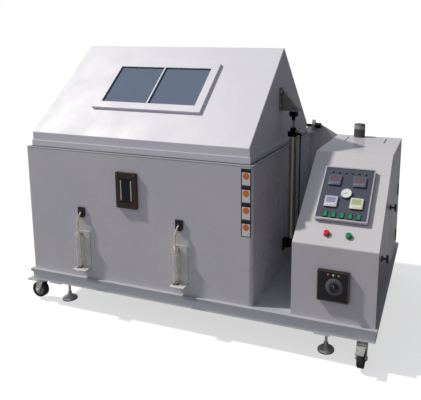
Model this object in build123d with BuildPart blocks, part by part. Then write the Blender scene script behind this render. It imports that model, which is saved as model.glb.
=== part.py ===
"""Salt-mist environmental test chamber: a peaked-lid cabinet and a control console on one wheeled base.

Millimetres, +Z up. The front faces -Y and +X is to the viewer's right. The floor is z = 0, and the
origin is the middle of the outer box on that floor.
"""
import os
from math import atan2, cos, degrees, pi, radians, sin, tan

from build123d import *

# Base: a lipped deck sheet on a welded frame of rectangular tube
base_w = 1750.0
base_d = 1020.0
deck_z = 192.0
deck_sheet = 3.0
deck_lip = 7.0
deck_lip_h = 14.0
rail_w = 50.0
rail_h = 55.0
rail_wall = 3.0
weld_gap = 0.2
cross_rails = 3

# Casters
wheel_r = 42.0
wheel_up_z = 15.0
wheel_w = 30.0
wheel_axle_r = 5.0
wheel_trail = 38.0
caster_in_left = 40.0
caster_in_right = 62.0
caster_in_y = 54.0
caster_plate = 70.0
caster_plate_t = 5.0
swivel_r = 26.0
swivel_h = 12.0
kingpin_r = 8.0
fork_t = 4.0
fork_gap = 3.0
pedal_reach = 24.0
pedal_root = 32.0
pedal_drop = 6.5
pedal_t = 5.0
pedal_barrel_r = 5.0
pedal_pin_r = 2.5
swivel_clear = 0.5
leg_r = 12.0
leg_top_in = 2.0
wheel_edge_r = 5.0
dish_depth = 4.0
dish_rim = 13.0
hub_r = 13.0

# Levelling feet
foot_in_x_left = 141.0
foot_in_x_right = 230.0
foot_in_y = 106.0
foot_pad_r = 37.5
foot_pad_h = 6.0
foot_cone_h = 15.0
foot_stud_r = 6.0
foot_plate_w = 70.0
foot_plate_t = 6.0
foot_nut_r = 10.0
foot_nut_h = 8.0
foot_neck = 7.0
foot_root_h = 4.0
stud_gap = 24.0

# Cabinet
cab_in_x = 4.0
cab_in_y = 17.0
cab_w = 1200.0
cab_d = 990.0
rim_z = 824.0
shell_wall = 6.0
flange_t = 6.0
corner_r = 16.0

# Inner tank, with the water-seal groove that the lid's lip dips into
groove_at = 14.0
groove_w = 46.0
groove_depth = 25.0
tank_wall = 5.0
tank_top_drop = 4.0
tank_floor_z = 282.0
exhaust_r = 25.0
drain_r = 16.0
spigot_reach = 40.0
spigot_wall = 5.0
spigot_step = 2.0
spigot_root = 2.0
spigot_fit = 1.0
exhaust_in = 260.0
exhaust_z = 722.0
drain_in = 260.0
drain_z = 312.0

# Spray tower, heater, specimen rack and mist collectors in the tank
tower_r = 50.0
tower_wall = 4.0
tower_top_z = 722.0
tower_foot_t = 6.0
tower_slot_half = 12.0
tower_slot_low = 12.0
tower_slot_top = 60.0
tower_legs = 3
tower_leg_h = 41.0
tower_leg_root = 2.0
cone_gap = 32.0
cone_over = 22.0
cone_rise = 30.0
cone_t = 3.0
nozzle_z = 542.0
nozzle_pipe_r = 6.0
nozzle_r = 11.0
nozzle_h = 30.0
nozzle_tip_r = 4.0
nozzle_tip_h = 14.0
heater_r = 8.0
heater_up = 26.0
heater_off = 170.0
heater_gap = 30.0
heater_end = 120.0
saddle_half = 10.0
saddle_side = 12.0
saddle_cap = 4.0
rack_z = 602.0
rack_in = 100.0
rack_rods = 8
rack_pitch = 128.0
rack_rod_r = 7.0
rack_rail_half = 10.0
rack_rail_h = 24.0
rack_over = 20.0
rack_clear = 0.3
funnel_r = 50.0
funnel_h = 80.0
funnel_z = 722.0
funnel_in = 70.0
funnel_wall = 2.0
funnel_rim = 20.0
funnel_boss = 3.0
funnel_root = 6.0
stem_out = 14.0
stem_block = 6.0

# Lid
lid_in = 26.0
lid_wall = 6.0
lid_dip = 16.0
lid_clear = 3.0
eave_z = 894.0
ridge_z = 1320.0
band_out = 4.0
band_top_z = 854.0
lid_edge_r = 5.0

# Window in the lid's front slope
window_x = 586.0
window_s = 336.0
window_w = 516.0
window_h = 248.0
window_rim = 40.0
window_neck = 18.0
window_proud = 14.0
window_edge_r = 2.5
mullion_w = 7.0
pane_t = 6.0
pane_lap = 8.0
soft_gap = 0.3

# Lid hinge
hinge_back = 15.0
hinge_z = 870.0
hinge_shaft_r = 8.0
hinge_lug_r = 14.0
hinge_lug_w = 30.0
bearing_t = 18.0
bearing_peak_z = 904.0
bearing_half = 17.0
hinge_over = 58.0
collar_w = 30.0
collar_r = 16.0
rear_t = 6.0
rear_drop = 22.0
rear_rise = 4.0
rear_lap = 30.0
shaft_in = 2.0
lug_shares = (0.1, 0.5, 0.9)
bearing_in = 3.0
bearing_off = 6.0
bearing_drop = 30.0
bearing_shoulder = 8.0
bearing_top_half = 5.0
run_clear = 0.05

# Air cylinder that lifts the lid, on the cabinet's right side
lift_out = 41.0
lift_y = 466.0
lift_low_z = 318.0
lift_top_z = 998.0
bore_r = 16.0
barrel_r = 18.5
head_side = 46.0
head_top_z = 912.0
head_h = 25.0
boss_r = 15.0
boss_h = 18.0
cap_h = 26.0
cap_low_z = 334.0
rod_r = 6.0
piston_h = 25.0
lift_pin_r = 7.0
lug_w = 20.0
hose_r = 4.0
elbow_reach = 14.0
elbow_r = 5.0
elbow_socket_r = 6.0
elbow_socket_h = 8.0
elbow_back = 5.0
block_r = 6.0
eye_r = 12.0
rod_nut_r = 9.0
rod_nut_h = 18.0
piston_gap = 2.0
mount_plate = 64.0
mount_plate_w = 44.0
mount_t = 6.0
mount_boss_r = 16.0
mount_gap = 0.5
mount_over = 8.0

# Gusset bracket on the lid's right end wall
bracket_reach = 98.0
bracket_w = 60.0
bracket_t = 6.0
bracket_h = 112.0
bracket_gap = 16.0
cheek_t = 6.0
cheek_clear = 1.0
cheek_r = 14.0
pin_head_r = 9.0
pin_head_t = 5.0
flange_bar = 7.0
flange_w = 30.0

# Control console
con_in_x = 1379.0
con_w = 360.0
con_y0 = 18.0
con_d = 932.0
con_front_z = 518.0
con_slope_y = 418.0
con_top_z = 833.0
con_wall = 5.0
con_bend = 8.0
slot_back = 60.0
saturator_r = 130.0
saturator_top_z = 682.0
saturator_in_x = 1548.0
saturator_in_y = 790.0
saturator_wall = 4.0
board_t = 3.0
board_in_y = (90.0, 560.0)
board_up_z = (40.0, 330.0)
block_rows = ((60.0, 45.0, 60.0, 6), (150.0, 80.0, 70.0, 4), (270.0, 30.0, 30.0, 9))
block_run = 420.0
block_from = 115.0
block_gap = 8.0
door_inset = 90.0
door_top_z = 622.0
door_gap = 0.5
door_cut_z = 232.0
latch_stem_r = 5.0
latch_reach = 28.0
latch_bar = 34.0
latch_grip = 10.0
latch_grip_w = 9.0
rose_r = 12.0
rose_t = 5.0
rose_gap = 0.3
cam_w = 16.0
cam_t = 4.0
cam_gap = 3.0
cam_back = 12.0
cam_len = 56.0
latch_at = {"lower": (135.0, 450.0), "upper": (428.0, 586.0)}
cap_r = 30.0
cap_tall = 75.0
cap_in_x = 1508.0
cap_in_y = 902.0
neck_r = 25.0
neck_wall = 4.0
neck_clear = 0.5
neck_low = 20.0
cap_edge_r = 4.0
cap_roof = 15.0
cap_gap = 0.3
slot_len = 150.0
slot_w = 6.0
slot_in_xs = (1454.0, 1661.0)

# Instrument panel on the console's slope
panel_x = 1563.0
panel_s = 261.0
panel_w = 228.0
panel_h = 286.0
panel_t = 18.0
panel_lip = 6.0
panel_lip_h = 3.0
meter = 54.0
meter_t = 8.0
meter_corner_r = 3.0
meter_sink = 2.0
display_side = 14.0
display_less = 22.0
display_up = 4.0
meter_offs = ((-58.0, 63.0), (53.0, 63.0), (-55.0, -54.0), (56.0, -54.0))
gauge_off = (4.0, -6.0)
dial_more = 2.0
panel_corner_r = 5.0
lamp_r = 5.0
lamp_pitch = 29.8
lamps_count = 6
lamps_left = 77.0
lamp_h = 6.0
lamp_edge_r = 3.0
rocker_w = 15.0
rocker_len = 23.0
rocker_t = 9.0
rocker_pitch = 35.5
rockers_count = 5
rockers_left = 68.0
rocker_side_gap = 0.5
rocker_end_gap = 1.0
rocker_under = 2.0
rocker_keel = 5.0
rocker_end_h = 6.5
rocker_mid_h = 4.0
rocker_tilt = 6.0
rocker_sink = 2.0
rocker_s = 142.0
lamp_s = 372.0
gauge_r = 25.0
button_r = 14.0
button_hole_r = 12.0
button_travel = 4.0
button_head_h = 9.0
button_s = 58.0
button_offs = {"red": -48.0, "green": 45.0}
button_gap = 2.0
button_stem_in = 14.0
button_dome = 0.7

# Dial unit on the console's front
dial_x = 1561.0
dial_z = 353.0
dial_side = 134.0
dial_t = 14.0
dial_knob_r = 17.0
dial_knob_h = 20.0
dial_ring_r = 37.0
spindle_r = 3.0
dial_corner_r = 5.0
ring_off = 6.0
ring_w = 5.0
ring_h = 2.0
knob_gap = 0.3
knob_edge_r = 2.0
knob_cap = 5.0
spindle_less = 6.0

# Front fittings of the cabinet
port_xs = (322.0, 851.0)
port_z = 524.0
port_w = 36.0
port_h = 50.0
port_t = 8.0
port_hole_r = 9.0
spout_r = 4.0
spout_hole_r = 4.3
sleeve_gap = 6.0
spout_drop = 44.0
spout_lead = 4.0
shelf_w = 70.0
shelf_h = 185.0
shelf_d = 52.0
shelf_t = 3.0
shelf_z = 244.0
glass_r = 15.0
glass_h = 178.0
glass_wall = 1.5
glass_lip = 2.0
glass_lip_h = 3.0
glass_floor = 4.0
glass_clear = 0.5
glass_off = 14.0
shelf_off = 16.0
spout_dip = 30.0
spout_bend = 14.0
gauge_slot_w = 66.0
gauge_slot_h = 116.0
gauge_x = 583.0
gauge_z = 659.0
gauge_w = 110.0
gauge_h = 170.0
gauge_t = 12.0
gauge_corner_r = 4.0
sight_less = 4.0

# Placement of the outer box: what stands out past the base on each side
reach_left = wheel_r + wheel_trail - caster_in_left + pedal_reach
reach_front = wheel_r + wheel_trail - caster_in_y + pedal_reach
reach_right = con_in_x + con_w + latch_reach - base_w
reach_rear = cab_in_y + cab_d + spigot_reach - base_d
x0 = (reach_left - reach_right - base_w) / 2
y0 = (reach_front - reach_rear - base_d) / 2

# Places worked out from the values above
cab_x = (x0 + cab_in_x, x0 + cab_in_x + cab_w)
cab_y = (y0 + cab_in_y, y0 + cab_in_y + cab_d)
lid_x = (cab_x[0] + lid_in, cab_x[1] - lid_in)
lid_y = (cab_y[0] + lid_in, cab_y[1] - lid_in)
ridge_y = (lid_y[0] + lid_y[1]) / 2
roof_angle = atan2(ridge_z - eave_z, ridge_y - lid_y[0])
hinge_y = lid_y[1] + hinge_back
con_x = (x0 + con_in_x, x0 + con_in_x + con_w)
con_y = (y0 + con_y0, y0 + con_y0 + con_d)
con_knee_y = y0 + con_slope_y
con_angle = atan2(con_top_z - con_front_z, con_knee_y - con_y[0])
lift_x = cab_x[1] + lift_out
lift_axis_y = y0 + lift_y
rail_z = (deck_z - deck_sheet - rail_h, deck_z - deck_sheet)
roof = Plane(origin=(x0, lid_y[0], eave_z), x_dir=(1, 0, 0), z_dir=(0, -sin(roof_angle), cos(roof_angle)))
slope = Plane(origin=(x0, con_y[0], con_front_z), x_dir=(1, 0, 0), z_dir=(0, -sin(con_angle), cos(con_angle)))

os.makedirs("parts", exist_ok=True)


def slab(x, y, z, mode=Mode.ADD):
    """Add or cut a box that spans the pairs x, y and z."""
    with Locations((sum(x) / 2, sum(y) / 2, sum(z) / 2)):
        Box(x[1] - x[0], y[1] - y[0], z[1] - z[0], mode=mode)


def post(x, y, z, radius, mode=Mode.ADD):
    """Add or cut an upright cylinder over the pair z."""
    with Locations((x, y, sum(z) / 2)):
        Cylinder(radius, z[1] - z[0], mode=mode)


def bar_x(x, y, z, radius, mode=Mode.ADD):
    """Add or cut a cylinder along X over the pair x."""
    with Locations((sum(x) / 2, y, z)):
        Cylinder(radius, x[1] - x[0], rotation=(0, 90, 0), mode=mode)


def bar_y(x, y, z, radius, mode=Mode.ADD):
    """Add or cut a cylinder along Y over the pair y."""
    with Locations((x, sum(y) / 2, z)):
        Cylinder(radius, y[1] - y[0], rotation=(90, 0, 0), mode=mode)


def inset(span, amount):
    """Bring both ends of a span inwards."""
    return (span[0] + amount, span[1] - amount)


def tray(amount, z, mode=Mode.ADD):
    """Add or cut a plate of the cabinet's plan, brought in by an amount, with rounded corners."""
    with BuildSketch(Plane.XY.offset(z[0])) as plan:
        with Locations((sum(cab_x) / 2, sum(cab_y) / 2)):
            RectangleRounded(cab_w - 2 * amount, cab_d - 2 * amount, max(corner_r - amount, 2.0))
    extrude(plan.sketch, amount=z[1] - z[0], mode=mode)


def section(points, x, mode=Mode.ADD):
    """Add or cut a prism along X whose outline is a list of (y, z) points."""
    with BuildSketch(Plane.YZ.offset(x[0])) as outline:
        with BuildLine():
            Polyline(*points, close=True)
        make_face()
    extrude(outline.sketch, amount=x[1] - x[0], mode=mode)


def save(builder, name):
    """Label a finished piece and write it under its node name."""
    builder.part.label = name
    export_step(builder.part, f"parts/{name}.step")


# Deck: one sheet with its edges folded down over the frame
with BuildPart() as deck:
    slab((x0, x0 + base_w), (y0, y0 + base_d), (deck_z - deck_lip_h, deck_z))
    inner_x = inset((x0, x0 + base_w), deck_lip)
    inner_y = inset((y0, y0 + base_d), deck_lip)
    slab(inner_x, inner_y, (deck_z - deck_lip_h, deck_z - deck_sheet), Mode.SUBTRACT)
save(deck, "base_deck")

# Frame: lengths of rectangular tube, butted and welded, each length its own solid, and under it the
# threaded plates that the levelling feet screw through
feet = {
    "front_left": (x0 + foot_in_x_left, y0 + foot_in_y),
    "front_right": (x0 + base_w - foot_in_x_right, y0 + foot_in_y),
    "rear_left": (x0 + foot_in_x_left, y0 + base_d - foot_in_y),
    "rear_right": (x0 + base_w - foot_in_x_right, y0 + base_d - foot_in_y),
}
frame_x = inset((x0, x0 + base_w), deck_lip)
frame_y = inset((y0, y0 + base_d), deck_lip)
between_y = inset(frame_y, rail_w + weld_gap)
with BuildPart() as frame:
    for y_low in (frame_y[0], frame_y[1] - rail_w):
        span_y = (y_low, y_low + rail_w)
        slab(frame_x, span_y, rail_z)
        slab(frame_x, inset(span_y, rail_wall), inset(rail_z, rail_wall), Mode.SUBTRACT)
    cross_step = (frame_x[1] - frame_x[0] - rail_w) / (cross_rails + 1)
    for number in range(cross_rails + 2):
        x_low = frame_x[0] + number * cross_step
        span_x = (x_low, x_low + rail_w)
        slab(span_x, between_y, rail_z)
        slab(inset(span_x, rail_wall), between_y, inset(rail_z, rail_wall), Mode.SUBTRACT)
    foot_plate_z = (rail_z[0] - weld_gap - foot_plate_t, rail_z[0] - weld_gap)
    nut_z = (foot_plate_z[0] - foot_nut_h, foot_plate_z[0])
    for name, (x, y) in feet.items():
        if name.startswith("front"):
            plate_y = (frame_y[0], y + foot_plate_w / 2)
        else:
            plate_y = (y - foot_plate_w / 2, frame_y[1])
        slab((x - foot_plate_w / 2, x + foot_plate_w / 2), plate_y, foot_plate_z)
        post(x, y, nut_z, foot_nut_r)
        post(x, y, (nut_z[0], foot_plate_z[1]), foot_stud_r + run_clear, Mode.SUBTRACT)
save(frame, "base_frame")

# Casters: a bolted plate, a swivelling fork with its axle, a wheel and, in front, a brake pedal
casters = {
    "front_left": (x0 + caster_in_left, y0 + caster_in_y, 180.0, True),
    "front_right": (x0 + base_w - caster_in_right, y0 + caster_in_y, -90.0, True),
    "rear_left": (x0 + caster_in_left, y0 + base_d - caster_in_y, 0.0, False),
    "rear_right": (x0 + base_w - caster_in_right, y0 + base_d - caster_in_y, 180.0, False),
}
plate_z = (rail_z[0] - caster_plate_t, rail_z[0])
swivel_z = (plate_z[0] - swivel_h, plate_z[0])
with BuildPart() as plates:
    for x, y, _, _ in casters.values():
        with Locations((x, y, sum(plate_z) / 2)):
            Box(caster_plate, caster_plate, caster_plate_t)
        post(x, y, (swivel_z[0] - fork_t, plate_z[0]), kingpin_r)
save(plates, "caster_plates")

fork_half = wheel_w / 2 + fork_gap
crown_z = (swivel_z[0] - fork_t, swivel_z[0])
pedal_z = crown_z[0] - pedal_drop
wheel_z = wheel_up_z + wheel_r
leg_top = crown_z[1] - wheel_z
for name, (x, y, turn, has_pedal) in casters.items():
    stand = Plane(origin=(x, y, 0), x_dir=(cos(radians(turn)), sin(radians(turn)), 0), z_dir=(0, 0, 1))
    wheel_up = Plane(origin=stand.from_local_coords((wheel_trail, 0, wheel_z)),
                     x_dir=stand.x_dir, z_dir=stand.y_dir * -1)
    hinge_up = Plane(origin=stand.from_local_coords((pedal_root, 0, pedal_z)),
                     x_dir=stand.x_dir, z_dir=stand.y_dir * -1)
    with BuildPart() as fork:
        with BuildSketch(stand.offset(crown_z[0])) as crown:
            Circle(swivel_r)
            with Locations((wheel_trail / 2, 0)):
                Rectangle(wheel_trail, 2 * fork_half + 2 * fork_t)
        extrude(crown.sketch, amount=fork_t)
        with BuildSketch(stand.offset(crown_z[1])) as race:
            Circle(swivel_r)
        extrude(race.sketch, amount=swivel_h - swivel_clear)
        for side in (-1, 1):
            with BuildSketch(wheel_up.offset(side * (fork_half + fork_t / 2))) as leg:
                with BuildLine():
                    Polyline((-wheel_trail, leg_top), (leg_top_in, leg_top), (leg_r, 0), (0, -leg_r),
                             (-leg_r, 0), close=True)
                make_face()
                Circle(leg_r)
            extrude(leg.sketch, amount=fork_t / 2, both=True)
        with BuildSketch(stand.offset(crown_z[0] - 1)) as king_hole:
            Circle(kingpin_r + run_clear)
        extrude(king_hole.sketch, amount=swivel_h + fork_t + 2, mode=Mode.SUBTRACT)
        with BuildSketch(wheel_up.offset(-fork_half - fork_t)) as axle:
            Circle(wheel_axle_r)
        extrude(axle.sketch, amount=2 * (fork_half + fork_t))
        if has_pedal:
            with BuildSketch(hinge_up.offset(-fork_half - fork_t)) as pedal_pin:
                Circle(pedal_pin_r)
            extrude(pedal_pin.sketch, amount=2 * (fork_half + fork_t))
    save(fork, f"caster_fork_{name}")

    with BuildPart() as wheel:
        with BuildSketch(wheel_up.offset(-wheel_w / 2)) as tread:
            Circle(wheel_r)
            Circle(wheel_axle_r + run_clear, mode=Mode.SUBTRACT)
        extrude(tread.sketch, amount=wheel_w)
        fillet(wheel.edges().filter_by(GeomType.CIRCLE).group_by(SortBy.LENGTH)[-1], wheel_edge_r)
        for face_at in (-wheel_w / 2, wheel_w / 2 - dish_depth):
            with BuildSketch(wheel_up.offset(face_at)) as dish:
                Circle(wheel_r - dish_rim)
                Circle(hub_r, mode=Mode.SUBTRACT)
            extrude(dish.sketch, amount=dish_depth, mode=Mode.SUBTRACT)
    save(wheel, f"caster_wheel_{name}")

    if has_pedal:
        pedal_half = fork_half - soft_gap
        pedal_len = wheel_trail + wheel_r + pedal_reach - pedal_root
        with BuildPart() as pedal:
            with BuildSketch(hinge_up.offset(-pedal_half)) as side_view:
                with Locations((pedal_len / 2, 0)):
                    Rectangle(pedal_len, pedal_t)
                Circle(pedal_barrel_r)
                Circle(pedal_pin_r + run_clear, mode=Mode.SUBTRACT)
            extrude(side_view.sketch, amount=2 * pedal_half)
        save(pedal, f"brake_pedal_{name}")

# Levelling feet: a threaded stud on a coned pad
stud_top = deck_z - deck_sheet - stud_gap
for name, (x, y) in feet.items():
    with BuildPart() as foot:
        with BuildSketch(Plane(origin=(x, y, 0), x_dir=(1, 0, 0), z_dir=(0, -1, 0))) as half:
            with BuildLine():
                Polyline((0, 0), (foot_pad_r, 0), (foot_pad_r, foot_pad_h),
                         (foot_stud_r + foot_neck, foot_pad_h + foot_cone_h),
                         (foot_stud_r, foot_pad_h + foot_cone_h + foot_root_h), (foot_stud_r, stud_top),
                         (0, stud_top), close=True)
            make_face()
        revolve(half.sketch, axis=Axis((x, y, 0), (0, 0, 1)))
    save(foot, f"levelling_foot_{name}")

# Cabinet shell: a rounded box of bent sheet, open at the top
shell_z = (deck_z, rim_z - flange_t)
port_x = [x0 + at for at in port_xs]
exhaust = (cab_x[0] + exhaust_in, exhaust_z)
drain = (cab_x[0] + drain_in, drain_z)
with BuildPart() as shell:
    tray(0, shell_z)
    tray(shell_wall, (deck_z + shell_wall, rim_z), Mode.SUBTRACT)
    for x in port_x:
        bar_y(x, (cab_y[0] - 1, cab_y[0] + shell_wall + 1), port_z, spout_hole_r + sleeve_gap, Mode.SUBTRACT)
    with Locations((x0 + gauge_x, cab_y[0] + shell_wall / 2, gauge_z)):
        Box(gauge_slot_w, shell_wall + 2, gauge_slot_h, mode=Mode.SUBTRACT)
    for (x, z), radius in ((exhaust, exhaust_r), (drain, drain_r)):
        bar_y(x, (cab_y[1] - shell_wall - 1, cab_y[1] + 1), z, radius - spigot_fit, Mode.SUBTRACT)
save(shell, "cabinet_shell")

# Inner tank: flange, water-seal groove, tank walls and floor, and the two rear spigots
groove_out = groove_at + groove_w
inner = groove_out + tank_wall
groove_z = rim_z - groove_depth
tank_in_x = inset(cab_x, inner)
tank_in_y = inset(cab_y, inner)
tank_floor = tank_floor_z + flange_t
with BuildPart() as tank:
    tray(0, (rim_z - flange_t, rim_z))
    tray(groove_at - tank_wall, (groove_z - tank_wall, rim_z - flange_t))
    tray(groove_out, (tank_floor_z, rim_z - tank_top_drop))
    tray(groove_at, (groove_z, rim_z + 1), Mode.SUBTRACT)
    tray(groove_out, (groove_z - tank_wall, rim_z - tank_top_drop))
    tray(inner, (tank_floor, rim_z + 1), Mode.SUBTRACT)
    for (x, z), radius in ((exhaust, exhaust_r), (drain, drain_r)):
        bar_y(x, (tank_in_y[1] - spigot_root, cab_y[1]), z, radius - spigot_step)
        bar_y(x, (cab_y[1], cab_y[1] + spigot_reach), z, radius)
        through_y = (tank_in_y[1] - 2 * spigot_root, cab_y[1] + spigot_reach + 1)
        bar_y(x, through_y, z, radius - spigot_wall, Mode.SUBTRACT)
    for x in port_x:
        bar_y(x, (tank_in_y[0] - tank_wall - 1, tank_in_y[0] + 1), port_z, spout_hole_r, Mode.SUBTRACT)
save(tank, "inner_tank")

# Spray tower: a clear pipe with slots at its foot and a cone above its mouth, and the nozzle inside
tower_x = sum(tank_in_x) / 2
tower_y = sum(tank_in_y) / 2
with BuildPart() as tower:
    post(tower_x, tower_y, (tank_floor, tower_top_z), tower_r)
    post(tower_x, tower_y, (tank_floor + tower_foot_t, tower_top_z + 1), tower_r - tower_wall, Mode.SUBTRACT)
    slab((tower_x - tower_r - 1, tower_x + tower_r + 1),
         (tower_y - tower_slot_half, tower_y + tower_slot_half),
         (tank_floor + tower_slot_low, tank_floor + tower_slot_top), Mode.SUBTRACT)
    for number in range(tower_legs):
        angle = pi / 2 + 2 * pi * number / tower_legs
        leg_at = tower_r - tower_wall / 2
        post(tower_x + leg_at * cos(angle), tower_y + leg_at * sin(angle),
             (tower_top_z - tower_leg_root, tower_top_z + tower_leg_h), tower_wall / 2)
    cone_low = tower_top_z + cone_gap
    with BuildSketch(Plane(origin=(tower_x, tower_y, 0), x_dir=(1, 0, 0), z_dir=(0, -1, 0))) as cone_half:
        with BuildLine():
            Polyline((0, cone_low + cone_rise), (tower_r + cone_over, cone_low),
                     (tower_r + cone_over, cone_low - cone_t), (0, cone_low + cone_rise - cone_t - 1),
                     close=True)
        make_face()
    revolve(cone_half.sketch, axis=Axis((tower_x, tower_y, 0), (0, 0, 1)))
    post(tower_x, tower_y, (tank_floor + tower_foot_t, nozzle_z), nozzle_pipe_r)
    post(tower_x, tower_y, (nozzle_z, nozzle_z + nozzle_h), nozzle_r)
    post(tower_x, tower_y, (nozzle_z + nozzle_h, nozzle_z + nozzle_h + nozzle_tip_h), nozzle_tip_r)
save(tower, "spray_tower")

# Heater: two hairpin rods on saddles over the tank's floor
with BuildPart() as heater:
    for side in (-1, 1):
        middle = tower_y + side * heater_off
        for rod_side in (-1, 1):
            rod_y = middle + rod_side * heater_gap
            bar_x(inset(tank_in_x, heater_end), rod_y, tank_floor + heater_up, heater_r)
        for end in (0, 1):
            end_x = inset(tank_in_x, heater_end)[end]
            slab((end_x - saddle_half, end_x + saddle_half),
                 (middle - heater_gap - saddle_side, middle + heater_gap + saddle_side),
                 (tank_floor, tank_floor + heater_up + heater_r + saddle_cap))
save(heater, "heater_element")

# Specimen rack: two rails on the end walls and the V rods laid across them
rack_x = inset(tank_in_x, rack_clear)
with BuildPart() as rack:
    for y in (tank_in_y[0] + rack_in, tank_in_y[1] - rack_in):
        slab(rack_x, (y - rack_rail_half, y + rack_rail_half), (rack_z - rack_rail_h, rack_z))
    for number in range(rack_rods):
        x = tower_x + (number - (rack_rods - 1) / 2) * rack_pitch
        bar_y(x, inset(tank_in_y, rack_in - rack_over), rack_z + rack_rod_r, rack_rod_r)
save(rack, "specimen_rack")

# Mist collectors: a funnel on a stem that turns out through the front wall
stem_end_y = tank_in_y[0] - tank_wall - stem_out
cone_foot = funnel_z - funnel_h
with BuildPart() as funnels:
    for x in port_x:
        y = tank_in_y[0] + funnel_in
        post(x, y, (port_z, cone_foot), spout_r)
        bar_y(x, (stem_end_y, y), port_z, spout_r)
        slab((x - stem_block, x + stem_block), (y - stem_block, y + stem_block),
             (port_z - stem_block, port_z + stem_block))
        with BuildSketch(Plane(origin=(x, y, 0), x_dir=(1, 0, 0), z_dir=(0, -1, 0))) as funnel_half:
            with BuildLine():
                Polyline((0, cone_foot - funnel_root), (spout_r + funnel_boss, cone_foot - funnel_root),
                         (funnel_r, funnel_z - funnel_rim), (funnel_r, funnel_z),
                         (funnel_r - funnel_wall, funnel_z),
                         (funnel_r - funnel_wall, funnel_z - funnel_rim + 1), (0, cone_foot + 1), close=True)
            make_face()
        revolve(funnel_half.sketch, axis=Axis((x, y, 0), (0, 0, 1)))
save(funnels, "fog_funnels")

# Ports on the front wall, the drip spouts that come out of them, and their shelves and glasses
with BuildPart() as ports:
    for x in port_x:
        with BuildSketch(Plane.XZ.offset(-cab_y[0])) as plate:
            with Locations((x, port_z)):
                Rectangle(port_w, port_h)
            fillet(plate.vertices().group_by(Axis.Y)[0], port_w / 3)
        extrude(plate.sketch, amount=port_t)
        bar_y(x, (cab_y[0] - port_t - 1, cab_y[0] + 1), port_z, port_hole_r, Mode.SUBTRACT)
save(ports, "drip_ports")

glass_y = cab_y[0] - shelf_t - glass_r - glass_clear
shelf_top = shelf_z + shelf_t
spout_low = shelf_top + glass_h - spout_dip
with BuildPart() as spouts:
    for x in port_x:
        glass_x = x - glass_off
        with BuildLine() as route:
            FilletPolyline((x, stem_end_y, port_z), (x, glass_y + spout_lead, port_z),
                           (glass_x, glass_y, port_z - spout_drop), (glass_x, glass_y, spout_low),
                           radius=spout_bend)
        with BuildSketch(Plane(origin=route.line @ 0, z_dir=route.line % 0)) as bore:
            Circle(spout_r)
        sweep(bore.sketch, path=route.line)
save(spouts, "drip_spouts")

with BuildPart() as shelves:
    for x in port_x:
        span = (x - glass_off - shelf_off, x - glass_off - shelf_off + shelf_w)
        slab(span, (cab_y[0] - shelf_t, cab_y[0]), (shelf_z, shelf_z + shelf_h))
        slab(span, (cab_y[0] - shelf_d, cab_y[0]), (shelf_z, shelf_top))
save(shelves, "cylinder_shelves")

with BuildPart() as glasses:
    for x in port_x:
        glass_x = x - glass_off
        post(glass_x, glass_y, (shelf_top, shelf_top + glass_h), glass_r - glass_lip)
        post(glass_x, glass_y, (shelf_top, shelf_top + glass_lip_h), glass_r)
        post(glass_x, glass_y, (shelf_top + glass_h - glass_lip_h, shelf_top + glass_h), glass_r)
        hollow_z = (shelf_top + glass_floor, shelf_top + glass_h + 1)
        post(glass_x, glass_y, hollow_z, glass_r - glass_lip - glass_wall, Mode.SUBTRACT)
save(glasses, "measuring_cylinders")

# Level gauge: a thick clear frame over a slot in the front wall, with a glass behind its window
gauge_at = x0 + gauge_x
with BuildPart() as gauge:
    with BuildSketch(Plane.XZ.offset(-cab_y[0])) as plate:
        with Locations((gauge_at, gauge_z)):
            RectangleRounded(gauge_w, gauge_h, gauge_corner_r)
            Rectangle(gauge_slot_w, gauge_slot_h, mode=Mode.SUBTRACT)
    extrude(plate.sketch, amount=gauge_t)
save(gauge, "level_gauge_frame")

with BuildPart() as sight:
    with Locations((gauge_at, cab_y[0] - gauge_t / 2, gauge_z)):
        Box(gauge_slot_w - 2 * soft_gap, gauge_t - sight_less, gauge_slot_h - 2 * soft_gap)
save(sight, "level_gauge_glass")

# Lid: a peaked shell with a proud band round its foot
roof_out = [(lid_y[0], rim_z - lid_dip), (lid_y[1], rim_z - lid_dip), (lid_y[1], eave_z), (ridge_y, ridge_z),
            (lid_y[0], eave_z)]
eave_drop = lid_wall * (1 - sin(roof_angle)) / cos(roof_angle)
ridge_drop = lid_wall / cos(roof_angle)
roof_in = [(lid_y[0] + lid_wall, rim_z - lid_dip - 1), (lid_y[1] - lid_wall, rim_z - lid_dip - 1),
           (lid_y[1] - lid_wall, eave_z - eave_drop), (ridge_y, ridge_z - ridge_drop),
           (lid_y[0] + lid_wall, eave_z - eave_drop)]
band_z = (rim_z + lid_clear, band_top_z)
hole_w = window_w + 2 * window_neck
hole_h = window_h + 2 * window_neck
with BuildPart() as lid:
    section(roof_out, lid_x)
    fillet(lid.edges().filter_by(lambda edge: edge.center().Z > eave_z - 1), lid_edge_r)
    slab((lid_x[0] - band_out, lid_x[1] + band_out), (lid_y[0] - band_out, lid_y[1] + band_out), band_z)
    section(roof_in, inset(lid_x, lid_wall), Mode.SUBTRACT)
    with BuildSketch(roof.offset(-2 * lid_wall)) as hole:
        with Locations((window_x, window_s)):
            Rectangle(hole_w + 2 * soft_gap, hole_h + 2 * soft_gap)
    extrude(hole.sketch, amount=3 * lid_wall, mode=Mode.SUBTRACT)
save(lid, "lid_shell")

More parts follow.
